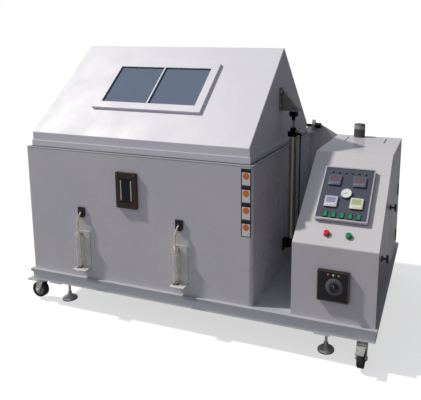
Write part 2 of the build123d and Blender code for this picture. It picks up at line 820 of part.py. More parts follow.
# Window frame, with a mullion and a rebate for each pane
pane_w = (window_w - mullion_w) / 2
pane_x = (window_x - (pane_w + mullion_w) / 2, window_x + (pane_w + mullion_w) / 2)
rebate = min(pane_lap, mullion_w / 2 - 1)
with BuildPart() as window:
    with BuildSketch(roof) as rim:
        with Locations((window_x, window_s)):
            Rectangle(window_w + 2 * window_rim, window_h + 2 * window_rim)
    extrude(rim.sketch, amount=window_proud)
    fillet(window.edges().filter_by(lambda edge: roof.to_local_coords(edge.center()).Z > 1), window_edge_r)
    with BuildSketch(roof.offset(-lid_wall)) as neck:
        with Locations((window_x, window_s)):
            Rectangle(hole_w, hole_h)
    extrude(neck.sketch, amount=lid_wall)
    for x in pane_x:
        with BuildSketch(roof.offset(-lid_wall - 1)) as seat:
            with Locations((x, window_s)):
                Rectangle(pane_w + 2 * rebate, window_h + 2 * rebate)
        extrude(seat.sketch, amount=lid_wall + 1 + pane_t, mode=Mode.SUBTRACT)
        with BuildSketch(roof) as clear:
            with Locations((x, window_s)):
                Rectangle(pane_w, window_h)
        extrude(clear.sketch, amount=window_proud + 1, mode=Mode.SUBTRACT)
save(window, "window_frame")

with BuildPart() as panes:
    for x in pane_x:
        with BuildSketch(roof) as sheet:
            with Locations((x, window_s)):
                Rectangle(pane_w + 2 * (rebate - soft_gap), window_h + 2 * (rebate - soft_gap))
        extrude(sheet.sketch, amount=pane_t)
save(panes, "window_panes")

# Lid hinge: lugs on the lid's rear wall, the shaft they grip, and two bearings beyond the lid's ends
shaft_x = (cab_x[0] + shaft_in, cab_x[1] + hinge_over)
lug_xs = [lid_x[0] + share * (lid_x[1] - lid_x[0]) for share in lug_shares]
with BuildPart() as lugs:
    for x in lug_xs:
        span = (x - hinge_lug_w / 2, x + hinge_lug_w / 2)
        slab(span, (lid_y[1], hinge_y), (hinge_z - hinge_lug_r, hinge_z + hinge_lug_r))
        bar_x(span, hinge_y, hinge_z, hinge_lug_r)
        bar_x((span[0] - 1, span[1] + 1), hinge_y, hinge_z, hinge_shaft_r, Mode.SUBTRACT)
save(lugs, "hinge_lugs")

with BuildPart() as shaft:
    bar_x(shaft_x, hinge_y, hinge_z, hinge_shaft_r)
    bar_x((shaft_x[1] - collar_w, shaft_x[1]), hinge_y, hinge_z, collar_r)
save(shaft, "hinge_shaft")

bearing_xs = ((cab_x[0] + bearing_in, cab_x[0] + bearing_in + bearing_t),
              (cab_x[1] + bearing_off, cab_x[1] + bearing_off + bearing_t))
panel_y = (hinge_y + bearing_half, hinge_y + bearing_half + rear_t)
with BuildPart() as bearings:
    for number, span in enumerate(bearing_xs):
        foot_z = rim_z if number == 0 else hinge_z - bearing_drop
        shoulder_z = hinge_z + bearing_shoulder
        peak = [(hinge_y - bearing_half, foot_z), (hinge_y + bearing_half, foot_z),
                (hinge_y + bearing_half, shoulder_z), (hinge_y + bearing_top_half, bearing_peak_z),
                (hinge_y - bearing_top_half, bearing_peak_z), (hinge_y - bearing_half, shoulder_z)]
        section(peak, span)
        bar_x((span[0] - 1, span[1] + 1), hinge_y, hinge_z, hinge_shaft_r + run_clear, Mode.SUBTRACT)
save(bearings, "hinge_bearings")

# Rear panel: closes the gap between cabinet and console, and carries the right bearing
panel_end_x = con_x[0] - mount_gap
with BuildPart() as rear:
    with BuildSketch(Plane.XZ.offset(-panel_y[0])) as outline:
        with BuildLine():
            Polyline((cab_x[1] - rear_lap, deck_z), (panel_end_x, deck_z),
                     (panel_end_x, con_top_z - rear_drop), (cab_x[1] + hinge_over, hinge_z + rear_rise),
                     (cab_x[1] - rear_lap, hinge_z + rear_rise), close=True)
        make_face()
    extrude(outline.sketch, amount=-rear_t)
save(rear, "rear_panel")

# Gusset bracket on the lid's right end wall, with the fork that the rod pushes on
bracket_y = (lift_axis_y - bracket_w / 2, lift_axis_y + bracket_w / 2)
bracket_z = lift_top_z + bracket_gap
bracket_x = (lid_x[1], lid_x[1] + bracket_reach)
eye_half = lug_w / 2
eye_x = (lift_x - eye_half, lift_x + eye_half)
with BuildPart() as bracket:
    slab(bracket_x, bracket_y, (bracket_z, bracket_z + bracket_t))
    slab((bracket_x[0], bracket_x[0] + bracket_t), bracket_y, (bracket_z, bracket_z + bracket_h))
    with BuildSketch(Plane.XZ.offset(-lift_axis_y)) as web:
        with BuildLine():
            Polyline((bracket_x[0], bracket_z), (bracket_x[1], bracket_z),
                     (bracket_x[1], bracket_z + bracket_t),
                     (bracket_x[0] + bracket_t, bracket_z + bracket_h), (bracket_x[0], bracket_z + bracket_h),
                     close=True)
        make_face()
    extrude(web.sketch, amount=bracket_t / 2, both=True)
    with BuildSketch(Plane.XZ.offset(-lift_axis_y)) as flange:
        with BuildLine():
            Polyline((bracket_x[1] - bracket_t, bracket_z + bracket_t), (bracket_x[1], bracket_z + bracket_t),
                     (bracket_x[0] + bracket_t, bracket_z + bracket_h),
                     (bracket_x[0] + bracket_t, bracket_z + bracket_h - flange_bar), close=True)
        make_face()
    extrude(flange.sketch, amount=flange_w / 2, both=True)
    for side in (-1, 1):
        near = lift_x + side * (eye_half + cheek_clear)
        cheek = tuple(sorted((near, near + side * cheek_t)))
        slab(cheek, (lift_axis_y - cheek_r, lift_axis_y + cheek_r), (lift_top_z, bracket_z))
        bar_x(cheek, lift_axis_y, lift_top_z, cheek_r)
        head = tuple(sorted((near + side * cheek_t, near + side * (cheek_t + pin_head_t))))
        bar_x(head, lift_axis_y, lift_top_z, pin_head_r)
save(bracket, "lid_bracket")

# Air cylinder: end cap with its pivot lug, barrel, head with its boss, and the two hose elbows
barrel_z = (cap_low_z + cap_h, head_top_z - head_h)
head_x = (lift_x - head_side / 2, lift_x + head_side / 2)
elbow_x = head_x[1] + elbow_reach
port_up_z = (cap_low_z + cap_h / 2, head_top_z - head_h / 2)
hose_z = inset(port_up_z, elbow_socket_h)
with BuildPart() as cylinder:
    post(lift_x, lift_axis_y, barrel_z, barrel_r)
    for block_z in ((cap_low_z, barrel_z[0]), (barrel_z[1], head_top_z)):
        with BuildSketch(Plane.XY.offset(block_z[0])) as block:
            with Locations((lift_x, lift_axis_y)):
                RectangleRounded(head_side, head_side, block_r)
        extrude(block.sketch, amount=block_z[1] - block_z[0])
    post(lift_x, lift_axis_y, (head_top_z, head_top_z + boss_h), boss_r)
    post(lift_x, lift_axis_y, (barrel_z[0], barrel_z[1]), bore_r, Mode.SUBTRACT)
    post(lift_x, lift_axis_y, (barrel_z[1] - 1, head_top_z + boss_h + 1), rod_r + run_clear, Mode.SUBTRACT)
    slab(eye_x, (lift_axis_y - eye_r, lift_axis_y + eye_r), (lift_low_z, cap_low_z))
    bar_x(eye_x, lift_axis_y, lift_low_z, eye_r)
    bar_x((lift_x - eye_half - 1, lift_x + eye_half + 1), lift_axis_y, lift_low_z, lift_pin_r + run_clear,
          Mode.SUBTRACT)
    for port_at, turn in zip(port_up_z, (1, -1)):
        bar_x((head_x[1] - 1, elbow_x), lift_axis_y, port_at, elbow_r)
        socket = tuple(sorted((port_at - turn * elbow_back, port_at + turn * elbow_socket_h)))
        post(elbow_x, lift_axis_y, socket, elbow_socket_r)
save(cylinder, "air_cylinder")

with BuildPart() as hose:
    post(elbow_x, lift_axis_y, hose_z, hose_r)
save(hose, "air_hose")

with BuildPart() as piston:
    piston_low = barrel_z[0] + piston_gap
    post(lift_x, lift_axis_y, (piston_low, piston_low + piston_h), bore_r - run_clear)
    post(lift_x, lift_axis_y, (piston_low + piston_h, lift_top_z), rod_r)
    bar_x(eye_x, lift_axis_y, lift_top_z, eye_r)
    post(lift_x, lift_axis_y, (lift_top_z - eye_r - rod_nut_h, lift_top_z - eye_r + 1), rod_nut_r)
save(piston, "piston_rod")

# Pivot mount: a plate on the cabinet's side with the pin that the cylinder's lug turns on
pin_end = lift_x + eye_half + mount_over
plate_end = cab_x[1] + mount_t
with BuildPart() as mount:
    slab((cab_x[1], plate_end), (lift_axis_y - mount_plate_w / 2, lift_axis_y + mount_plate_w / 2),
         (lift_low_z - mount_plate / 2, lift_low_z + mount_plate / 2))
    bar_x((plate_end, lift_x - eye_half - mount_gap), lift_axis_y, lift_low_z, mount_boss_r)
    bar_x((plate_end, pin_end), lift_axis_y, lift_low_z, lift_pin_r)
    bar_x((lift_x + eye_half + mount_gap, pin_end), lift_axis_y, lift_low_z, eye_r)
save(mount, "cylinder_mount")

# Console shell: bent sheet with a sloping face, open on the right behind its door
profile = [(con_y[0], deck_z), (con_y[1], deck_z), (con_y[1], con_top_z), (con_knee_y, con_top_z),
           (con_y[0], con_front_z)]


def brought_in(amount, low, top=con_top_z):
    """The console's side profile brought in by an amount, and cut off level at its foot and its top."""
    high = min(top, con_top_z - amount)
    corner_z = con_front_z - amount * (1 - sin(con_angle)) / cos(con_angle)
    return [(con_y[0] + amount, low), (con_y[1] - amount, low), (con_y[1] - amount, high),
            (con_y[0] + amount + (high - corner_z) / tan(con_angle), high), (con_y[0] + amount, corner_z)]


latches = {
    "lower": (y0 + latch_at["lower"][0], latch_at["lower"][1], pi),
    "upper": (y0 + latch_at["upper"][0], latch_at["upper"][1], pi / 2),
}
button_xs = {name: panel_x + off for name, off in button_offs.items()}
slot_xs = [x0 + at for at in slot_in_xs]
slot_y = con_y[1] - slot_back - slot_len / 2
cap_x = x0 + cap_in_x
cap_y = y0 + cap_in_y
with BuildPart() as console:
    section(profile, con_x)
    outer_edges = console.edges().filter_by(Axis.X).filter_by(lambda edge: edge.center().Z > deck_z + 1)
    fillet(outer_edges.filter_by(lambda edge: edge.center().Y < con_y[1] - 1), con_bend)
    section(brought_in(con_wall, deck_z - 1), inset(con_x, con_wall), Mode.SUBTRACT)
    cut_x = (con_x[1] - con_wall - 1, con_x[1] + 1)
    section(brought_in(door_inset, door_cut_z, door_top_z), cut_x, Mode.SUBTRACT)
    for x in slot_xs:
        slab((x - slot_w / 2, x + slot_w / 2), (slot_y - slot_len / 2, slot_y + slot_len / 2),
             (con_top_z - con_wall - 1, con_top_z + 1), Mode.SUBTRACT)
    post(cap_x, cap_y, (con_top_z - con_wall - 1, con_top_z + 1), neck_r + neck_clear, Mode.SUBTRACT)
    with BuildSketch(slope.offset(-con_wall - 1)) as button_holes:
        for x in button_xs.values():
            with Locations((x, button_s)):
                Circle(button_hole_r)
    extrude(button_holes.sketch, amount=con_wall + 2, mode=Mode.SUBTRACT)
save(console, "console_shell")

door_x = (con_x[1] - con_wall, con_x[1])
with BuildPart() as door:
    section(brought_in(door_inset + door_gap, door_cut_z + door_gap, door_top_z - door_gap), door_x)
    for y, z, _ in latches.values():
        bar_x((door_x[0] - 1, door_x[1] + 1), y, z, latch_stem_r + run_clear, Mode.SUBTRACT)
save(door, "console_door")

# Door latches: a T handle outside, its stem, and the cam that swings behind the door's frame
for name, (y, z, turn) in latches.items():
    with BuildPart() as latch:
        cam_x = (door_x[0] - cam_gap - cam_t, door_x[0] - cam_gap)
        bar_x((cam_x[0], door_x[1] + latch_reach - latch_grip / 2), y, z, latch_stem_r)
        bar_x((door_x[1] + rose_gap, door_x[1] + rose_t), y, z, rose_r)
        with Locations((door_x[1] + latch_reach - latch_grip / 2, y, z)):
            Box(latch_grip, latch_grip_w, latch_bar)
        cam_plane = Plane(origin=(cam_x[0], y, z), x_dir=(0, cos(turn), sin(turn)), z_dir=(1, 0, 0))
        with BuildSketch(cam_plane) as cam:
            with Locations(((cam_len - cam_back) / 2, 0)):
                SlotOverall(cam_len + cam_back, cam_w)
        extrude(cam.sketch, amount=cam_t)
    save(latch, f"latch_{name}")

# Air saturator in the console, its filler neck and the cap on top
saturator = (x0 + saturator_in_x, y0 + saturator_in_y)
neck_top_z = con_top_z + cap_tall - neck_low
with BuildPart() as barrel:
    post(*saturator, (deck_z, saturator_top_z), saturator_r)
    hollow_z = inset((deck_z, saturator_top_z), saturator_wall)
    post(*saturator, hollow_z, saturator_r - saturator_wall, Mode.SUBTRACT)
    post(cap_x, cap_y, (saturator_top_z - saturator_wall, neck_top_z), neck_r)
    neck_z = (saturator_top_z - saturator_wall - 1, neck_top_z + 1)
    post(cap_x, cap_y, neck_z, neck_r - neck_wall, Mode.SUBTRACT)
save(barrel, "saturator_tank")

with BuildPart() as cap:
    post(cap_x, cap_y, (con_top_z + cap_gap, con_top_z + cap_tall), cap_r)
    fillet(cap.edges().group_by(Axis.Z)[-1], cap_edge_r)
    post(cap_x, cap_y, (con_top_z, con_top_z + cap_tall - cap_roof), neck_r + run_clear, Mode.SUBTRACT)
save(cap, "filler_cap")

# Control plate: a back plate with relays, a controller and terminal blocks
board_x = (con_x[0] + con_wall, con_x[0] + con_wall + board_t)
with BuildPart() as board:
    slab(board_x, (con_y[0] + board_in_y[0], con_y[0] + board_in_y[1]),
         (deck_z + board_up_z[0], deck_z + board_up_z[1]))
    for low, tall, deep, count in block_rows:
        pitch = block_run / count
        for number in range(count):
            y = con_y[0] + block_from + number * pitch
            block_z = (deck_z + low, deck_z + low + tall)
            slab((board_x[1], board_x[1] + deep), (y, y + pitch - block_gap), block_z)
save(board, "control_plate")

# Instrument panel: a raised tray on the slope with a lip round it and five rocker pockets
lamp_xs = [panel_x - lamps_left + number * lamp_pitch for number in range(lamps_count)]
rocker_xs = [panel_x - rockers_left + number * rocker_pitch for number in range(rockers_count)]
with BuildPart() as panel:
    with BuildSketch(slope) as tray_outline:
        with Locations((panel_x, panel_s)):
            RectangleRounded(panel_w, panel_h, panel_corner_r)
    extrude(tray_outline.sketch, amount=panel_t + panel_lip_h)
    with BuildSketch(slope.offset(panel_t)) as face:
        with Locations((panel_x, panel_s)):
            Rectangle(panel_w - 2 * panel_lip, panel_h - 2 * panel_lip)
    extrude(face.sketch, amount=panel_lip_h + 1, mode=Mode.SUBTRACT)
    with BuildSketch(slope.offset(panel_t - rocker_t)) as pockets:
        for x in rocker_xs:
            with Locations((x, rocker_s)):
                Rectangle(rocker_w + 2 * rocker_side_gap, rocker_len + 2 * rocker_end_gap)
    extrude(pockets.sketch, amount=rocker_t + 1, mode=Mode.SUBTRACT)
save(panel, "instrument_panel")

# Meters: two temperature controllers, a timer, a counter and the round pressure gauge
meter_at = [(panel_x + off_x, panel_s + off_s) for off_x, off_s in meter_offs]
with BuildPart() as meters:
    for x, s in meter_at:
        with BuildSketch(slope.offset(panel_t)) as bezel:
            with Locations((x, s)):
                RectangleRounded(meter, meter, meter_corner_r)
        extrude(bezel.sketch, amount=meter_t)
        with BuildSketch(slope.offset(panel_t + meter_t - meter_sink)) as display:
            with Locations((x, s + display_up)):
                Rectangle(meter - display_side, meter - display_less)
        extrude(display.sketch, amount=meter_sink + 1, mode=Mode.SUBTRACT)
    with BuildSketch(slope.offset(panel_t)) as dial:
        with Locations((panel_x + gauge_off[0], panel_s + gauge_off[1])):
            Circle(gauge_r)
    extrude(dial.sketch, amount=meter_t + dial_more)
save(meters, "panel_meters")

with BuildPart() as lamps:
    for x in lamp_xs:
        lamp_plane = Plane(origin=slope.from_local_coords((x, lamp_s, panel_t)), x_dir=slope.x_dir,
                           z_dir=slope.z_dir)
        with BuildSketch(lamp_plane) as lamp:
            Circle(lamp_r)
        extrude(lamp.sketch, amount=lamp_h)
    fillet(lamps.edges().filter_by(lambda edge: slope.to_local_coords(edge.center()).Z > panel_t + lamp_h - 1),
           lamp_edge_r)
save(lamps, "indicator_lamps")

# Rockers: each rests tipped to one side and turns about a pin across its middle
for number, x in enumerate(rocker_xs):
    side_on = Plane(origin=slope.from_local_coords((x - rocker_w / 2, rocker_s, panel_t)), x_dir=slope.y_dir,
                    z_dir=slope.x_dir)
    with BuildPart() as rocker:
        with BuildSketch(side_on) as tipped:
            with Locations(Location((0, -rocker_sink), -rocker_tilt)):
                with BuildLine():
                    Polyline((-rocker_len / 2, -rocker_under), (-rocker_len / 2, rocker_end_h),
                             (0, rocker_mid_h), (rocker_len / 2, rocker_end_h),
                             (rocker_len / 2, -rocker_under), (0, -rocker_keel), close=True)
                make_face()
        extrude(tipped.sketch, amount=rocker_w)
    save(rocker, f"rocker_switch_{number + 1}")

# Push buttons on the slope: a stem through the sheet under a domed head
for name, x in button_xs.items():
    press = Plane(origin=slope.from_local_coords((x, button_s, 0)), x_dir=slope.x_dir, z_dir=slope.z_dir)
    with BuildPart() as button:
        head_low = button_travel + button_gap
        with BuildSketch(press.offset(-button_stem_in)) as stem:
            Circle(button_hole_r - soft_gap)
        extrude(stem.sketch, amount=button_stem_in + head_low)
        with BuildSketch(press.offset(head_low)) as head:
            Circle(button_r)
        extrude(head.sketch, amount=button_head_h)
        top_edges = button.edges().filter_by(GeomType.CIRCLE).filter_by(
            lambda edge: press.to_local_coords(edge.center()).Z > head_low + button_head_h - 1)
        fillet(top_edges, button_head_h * button_dome)
    save(button, f"push_button_{name}")

# Dial unit on the console's front: a square body with a raised ring and a spindle, and its knob
dial_at = (x0 + dial_x, dial_z)
ring_x = dial_at[0] + ring_off
unit_y = con_y[0] - dial_t
knob_y = (unit_y - dial_knob_h, unit_y - knob_gap)
with BuildPart() as dial_unit:
    with BuildSketch(Plane.XZ.offset(-con_y[0])) as square:
        with Locations(dial_at):
            RectangleRounded(dial_side, dial_side, dial_corner_r)
    extrude(square.sketch, amount=dial_t)
    with BuildSketch(Plane.XZ.offset(-unit_y)) as ring:
        with Locations((ring_x, dial_z)):
            Circle(dial_ring_r)
            Circle(dial_ring_r - ring_w, mode=Mode.SUBTRACT)
    extrude(ring.sketch, amount=ring_h)
    bar_y(ring_x, (knob_y[0] + spindle_less, unit_y), dial_z, spindle_r)
save(dial_unit, "dial_unit")

with BuildPart() as knob:
    bar_y(ring_x, knob_y, dial_z, dial_knob_r)
    fillet(knob.edges().group_by(Axis.Y)[0], knob_edge_r)
    bar_y(ring_x, (knob_y[0] + knob_cap, knob_y[1] + 1), dial_z, spindle_r + run_clear, Mode.SUBTRACT)
save(knob, "dial_knob")

print("outer box from", round(x0 - reach_left, 2), round(y0 - reach_front, 2), "to",
      round(x0 + base_w + reach_right, 2), round(y0 + base_d + reach_rear, 2), round(ridge_z, 2))
print("lid hinge", round(hinge_y, 3), hinge_z, "lift", lift_x, lift_axis_y, lift_low_z, lift_top_z)
print("panel plane angle", round(degrees(con_angle), 4), "roof angle", round(degrees(roof_angle), 4))
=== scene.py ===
# %% [markdown]
# # A salt-mist test chamber, dressed for its portrait
#
# The chamber comes from the CAD model as a fixed frame: a PVC cabinet with a peaked lid, a control
# console, and a wheeled steel base under both. This lesson gives each surface its real finish and
# adds the small pieces that the CAD leaves out, such as tags, meter covers, gaskets, screws and a
# gauge needle. Lights, camera and materials are in metres. The helpers for pieces and places take
# millimetres, as the drawing does. The front faces -Y, and the floor is z = 0.

# %% Load the frame
from math import pi, radians

import bmesh
import bpy
from mathutils import Matrix, Vector


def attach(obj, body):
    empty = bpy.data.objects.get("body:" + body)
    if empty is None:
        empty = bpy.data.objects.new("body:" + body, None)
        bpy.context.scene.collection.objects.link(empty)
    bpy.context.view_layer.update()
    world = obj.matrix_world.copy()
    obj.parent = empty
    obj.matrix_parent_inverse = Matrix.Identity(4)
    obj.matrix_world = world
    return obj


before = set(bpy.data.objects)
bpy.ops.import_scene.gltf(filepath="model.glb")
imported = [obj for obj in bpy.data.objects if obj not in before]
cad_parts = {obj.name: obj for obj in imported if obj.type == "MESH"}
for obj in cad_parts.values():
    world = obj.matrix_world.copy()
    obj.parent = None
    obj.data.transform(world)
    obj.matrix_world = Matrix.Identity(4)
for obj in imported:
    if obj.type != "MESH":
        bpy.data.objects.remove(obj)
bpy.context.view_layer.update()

# %% [markdown]
# ## The camera
#
# The camera stands where the photographer stood. Its place was found by matching corners of the
# base, the cabinet, the lid and the console, so it isn't adjusted by eye. The photograph is a
# crop from a wider picture, and the lens shift repeats that crop.

# %% Camera
photo_width, photo_height = 421, 400
focal_pixels = 495.72
principal_point = (275.74, 138.36)
sensor = 36.0
camera_place = (1.0730, -2.3732, 1.2925)
yaw, pitch_down, roll = radians(18.23), radians(9.74), radians(0.83)

camera_data = bpy.data.cameras.new("photo_camera")
camera_data.sensor_width = sensor
camera_data.lens = focal_pixels / photo_width * sensor
camera_data.shift_x = (photo_width / 2 - principal_point[0]) / photo_width
camera_data.shift_y = (principal_point[1] - photo_height / 2) / photo_width
camera = bpy.data.objects.new("photo_camera", camera_data)
bpy.context.collection.objects.link(camera)
turn = Matrix.Rotation(yaw, 4, "Z")
tip = Matrix.Rotation(pi / 2 - pitch_down, 4, "X")
lean = Matrix.Rotation(roll, 4, "Z")
camera.matrix_world = Matrix.Translation(camera_place) @ turn @ tip @ lean
bpy.context.scene.camera = camera
bpy.context.scene.view_settings.view_transform = "Standard"
shifts = [round(shift, 4) for shift in (camera_data.shift_x, camera_data.shift_y)]
print("lens", round(camera_data.lens, 2), "shifts", shifts)

# %% [markdown]
# ## Colours and nodes
#
# Every colour below is written as the sRGB hex value that an eye would read off the surface. A
# shader works with light, so one function turns the hex value to linear. The other functions each
# add one kind of node and link it, which keeps each material readable from top to bottom.

# %% Colour and node helpers
mix_share, mix_first, mix_second, mix_colour = 0, 6, 7, 2  # a Mix node's sockets for colours


def linear(hex_value):
    """Turn an sRGB hex value such as "D8D6DC" to the linear colour a shader needs."""
    channels = [int(hex_value[at:at + 2], 16) / 255 for at in (0, 2, 4)]
    return [c / 12.92 if c <= 0.04045 else ((c + 0.055) / 1.055) ** 2.4 for c in channels] + [1.0]


def new_material(name):
    """A material with its Principled shader, ready for nodes."""
    material = bpy.data.materials.new(name)
    material.use_nodes = True
    return material


def shader_of(material):
    """The Principled shader that new_material made."""
    return material.node_tree.nodes["Principled BSDF"]


def add(material, kind, links=None, **settings):
    """Add a node, set its properties and sockets, and link its inputs from other outputs."""
    node = material.node_tree.nodes.new("ShaderNode" + kind)
    for key, value in settings.items():
        if hasattr(node, key):
            setattr(node, key, value)
        else:
            node.inputs[key.replace("_", " ")].default_value = value
    for socket, output in (links or {}).items():
        material.node_tree.links.new(output, node.inputs[socket])
    return node


def link(material, output, socket):
    """Link a node's output to a socket of the material's shader."""
    material.node_tree.links.new(output, shader_of(material).inputs[socket])


def object_place(material):
    """The Object coordinates, which stay with a piece when it moves."""
    return add(material, "TexCoord").outputs["Object"]


def noise(material, place, **settings):
    """A noise pattern over a place."""
    return add(material, "TexNoise", {"Vector": place}, **settings).outputs[0]


def spread(material, value, low, high, to_low=0.0, to_high=1.0):
    """Spread a value's range from low to high over another range."""
    return add(material, "MapRange", {"Value": value}, From_Min=low, From_Max=high,
               To_Min=to_low, To_Max=to_high).outputs[0]


def mix(material, first, second, share=None, how="MIX"):
    """Mix two colours, each a hex value or a node's output. Without a share, mix them in full."""
    node = add(material, "Mix", data_type="RGBA", blend_type=how)
    for at, colour in ((mix_first, first), (mix_second, second)):
        if isinstance(colour, str):
            node.inputs[at].default_value = linear(colour)
        else:
            material.node_tree.links.new(colour, node.inputs[at])
    if share is None:
        node.inputs[mix_share].default_value = 1.0
    else:
        material.node_tree.links.new(share, node.inputs[mix_share])
    return node.outputs[mix_colour]


def relief(material, height, strength, distance):
    """Let a pattern raise the surface by at most this distance in metres."""
    bump = add(material, "Bump", {"Height": height}, Strength=strength, Distance=distance)
    link(material, bump.outputs[0], "Normal")


def dress(material, *nodes):
    """Give CAD nodes this material in place of the flat one they came with."""
    for name in nodes:
        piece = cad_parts[name]
        piece.data.materials.clear()
        piece.data.materials.append(material)
    print(material.name, "on", ", ".join(nodes))


def nodes_named(start):
    """The names of the CAD nodes that start with these letters."""
    return [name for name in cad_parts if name.startswith(start)]


print("CAD nodes to dress", len(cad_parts))

# %% [markdown]
# ## Floor and light
#
# The chamber was photographed outdoors with the sun high on the left, so the roof and the sloping
# console are bright, the fronts are mid grey, and the right sides lie in shade. A soft studio sun
# from the same side repeats that, with a pale surround as fill. To the camera the floor is a
# near-white paper that glows a little. To every other ray it is a mid grey, so it throws less
# light back than it seems to and the fronts keep their grey.

# %% Floor
floor_size = 60
paper_tone, paper_glow, bounce_tone = "B4B4B6", 0.62, "8A8A90"
bpy.ops.object.select_all(action="DESELECT")
bpy.ops.mesh.primitive_plane_add(size=floor_size, location=(0, 0, 0))
floor = bpy.context.object
floor.name = "studio_floor"
floor_paint = new_material("matt_studio_paint")
floor_shader = shader_of(floor_paint)
floor_shader.inputs["Roughness"].default_value = 0.9
floor_shader.inputs["Specular IOR Level"].default_value = 0.1
floor_shader.inputs["Emission Color"].default_value = linear("FFFFFF")
rays = add(floor_paint, "LightPath")
seen = add(floor_paint, "Math",
           {0: rays.outputs["Is Camera Ray"], 1: rays.outputs["Is Transmission Ray"]},
           operation="MAXIMUM").outputs[0]
link(floor_paint, mix(floor_paint, bounce_tone, paper_tone, share=seen), "Base Color")
glow = add(floor_paint, "Math", {0: seen}, operation="MULTIPLY")
glow.inputs[1].default_value = paper_glow
link(floor_paint, glow.outputs[0], "Emission Strength")
floor.data.materials.append(floor_paint)
print("floor of", floor_size, "m in", floor_paint.name)

# %% [markdown]
# The surround is the sky around the stage. It is white where the camera sees it, and it gives a
# cool grey light.

# %% Surround
world = bpy.data.worlds.new("studio_surround")
bpy.context.scene.world = world
world.use_nodes = True
sky_nodes, sky_links = world.node_tree.nodes, world.node_tree.links
background = sky_nodes["Background"]
sky_rays = sky_nodes.new("ShaderNodeLightPath")
sky_light = sky_nodes.new("ShaderNodeMix")
sky_light.data_type = "RGBA"
sky_light.inputs[mix_first].default_value = linear("A2A6AE")
sky_light.inputs[mix_second].default_value = linear("FFFFFF")
sky_links.new(sky_rays.outputs["Is Camera Ray"], sky_light.inputs[mix_share])
sky_links.new(sky_light.outputs[mix_colour], background.inputs["Color"])
background.inputs["Strength"].default_value = 1.0
print("surround", world.name)

# %% [markdown]
# The sun is about five times as wide as the real one, which softens the edges of the shadows.

# %% Sun
toward_sun = Vector((-0.85, -0.20, 1.0))
sun_data = bpy.data.lights.new("soft_sun", "SUN")
sun_data.energy = 2.9
sun_data.angle = radians(2.5)
sun_data.color = linear("FFFBF2")[:3]
sun = bpy.data.objects.new("soft_sun", sun_data)
bpy.context.collection.objects.link(sun)
sun.rotation_euler = toward_sun.to_track_quat("Z", "Y").to_euler()
print("sun toward", tuple(toward_sun))

# %% [markdown]
# A dark flag, the black card of a photographer, stands off to the right. The shaded sides and the
# end of the lid get their darkness from it, as they do from a dark wall and trees in the
# photograph. The camera itself looks through it, so the other views aren't blocked, but in views
# from the right and from behind its shadow shows on the floor.

# %% Flag
flag_place, flag_height, flag_depth = (2.3, 1.0, 1.2), 3.2, 9.0
bpy.ops.mesh.primitive_plane_add(size=1, location=flag_place, rotation=(0, radians(-90), 0))
flag = bpy.context.object
flag.name = "dark_flag"
flag.scale = (flag_height, flag_depth, 1.0)
flag_cloth = new_material("black_flag_cloth")
shader_of(flag_cloth).inputs["Base Color"].default_value = linear("241F1C")
shader_of(flag_cloth).inputs["Roughness"].default_value = 1.0
flag_rays = add(flag_cloth, "LightPath")
unseen = add(flag_cloth, "BsdfTransparent")
through = add(flag_cloth, "MixShader", {0: flag_rays.outputs["Is Camera Ray"],
                                        1: shader_of(flag_cloth).outputs[0],
                                        2: unseen.outputs[0]})
flag_out = flag_cloth.node_tree.nodes["Material Output"]
flag_cloth.node_tree.links.new(through.outputs[0], flag_out.inputs["Surface"])
flag.data.materials.append(flag_cloth)
print("flag at", flag_place)

# %% [markdown]
# ## PVC sheet
#
# The cabinet, the lid and the console are bent and welded from grey PVC sheet, pressed smooth and
# slightly pebbled by the press plates. The eye sees a pale grey with a hint of lavender, a soft
# highlight, faint clouds where the sheet was heated for bending, and a little dust. A pebble of
# 2 mm wouldn't show from two metres, so the grain is drawn at 5 mm.

# %% PVC sheet
def pvc_sheet(name, tone, cloud, roughness, grain=200.0, grain_depth=0.12):
    """Pressed PVC: two close tones in clouds, a dusting of specks, and a pebbled gloss."""
    material = new_material(name)
    place = object_place(material)
    clouds = noise(material, place, Scale=2.6, Detail=4.0, Roughness=0.55)
    tones = mix(material, tone, cloud, share=spread(material, clouds, 0.35, 0.65))
    pebble = noise(material, place, Scale=grain, Detail=2.0, Roughness=0.6)
    specks = spread(material, pebble, 0.30, 0.70, 0.95, 1.035)
    link(material, mix(material, tones, specks, how="MULTIPLY"), "Base Color")
    wipes = noise(material, place, Scale=7.0, Detail=3.0)
    gloss = spread(material, wipes, 0.3, 0.7, roughness - 0.05, roughness + 0.07)
    link(material, gloss, "Roughness")
    relief(material, pebble, grain_depth, 0.0006)
    shader_of(material).inputs["IOR"].default_value = 1.52
    return material


# The lid is the cabinet's sheet painted a shade paler, as painted light: the paler tone brightens
# the roof as the sun does.
lid_pvc_painted_light = pvc_sheet("pressed_pvc_lid_painted_light", "DDDBE4", "D9D7E1", 0.50)
cabinet_pvc = pvc_sheet("pressed_pvc_cabinet", "D4D0D5", "CDCAD0", 0.26)
console_pvc = pvc_sheet("pressed_pvc_console", "D4D0D5", "CECAD0", 0.20)
tank_pvc = pvc_sheet("welded_pvc_tank", "AEB0B4", "A5A7AC", 0.45)
dress(lid_pvc_painted_light, "lid_shell", "window_frame")
dress(cabinet_pvc, "cabinet_shell", "rear_panel")
dress(console_pvc, "console_shell", "console_door")
dress(tank_pvc, "inner_tank", "specimen_rack")

# %% [markdown]
# ## Powder-coated steel
#
# The base is welded steel under a baked powder coat of the same grey, a shade bluer. The powder
# melts into a shallow orange peel of about 3 mm, drawn here at 6 mm so that it shows, and the
# feet of passers-by and dragged trays leave dull scuffs on the deck.

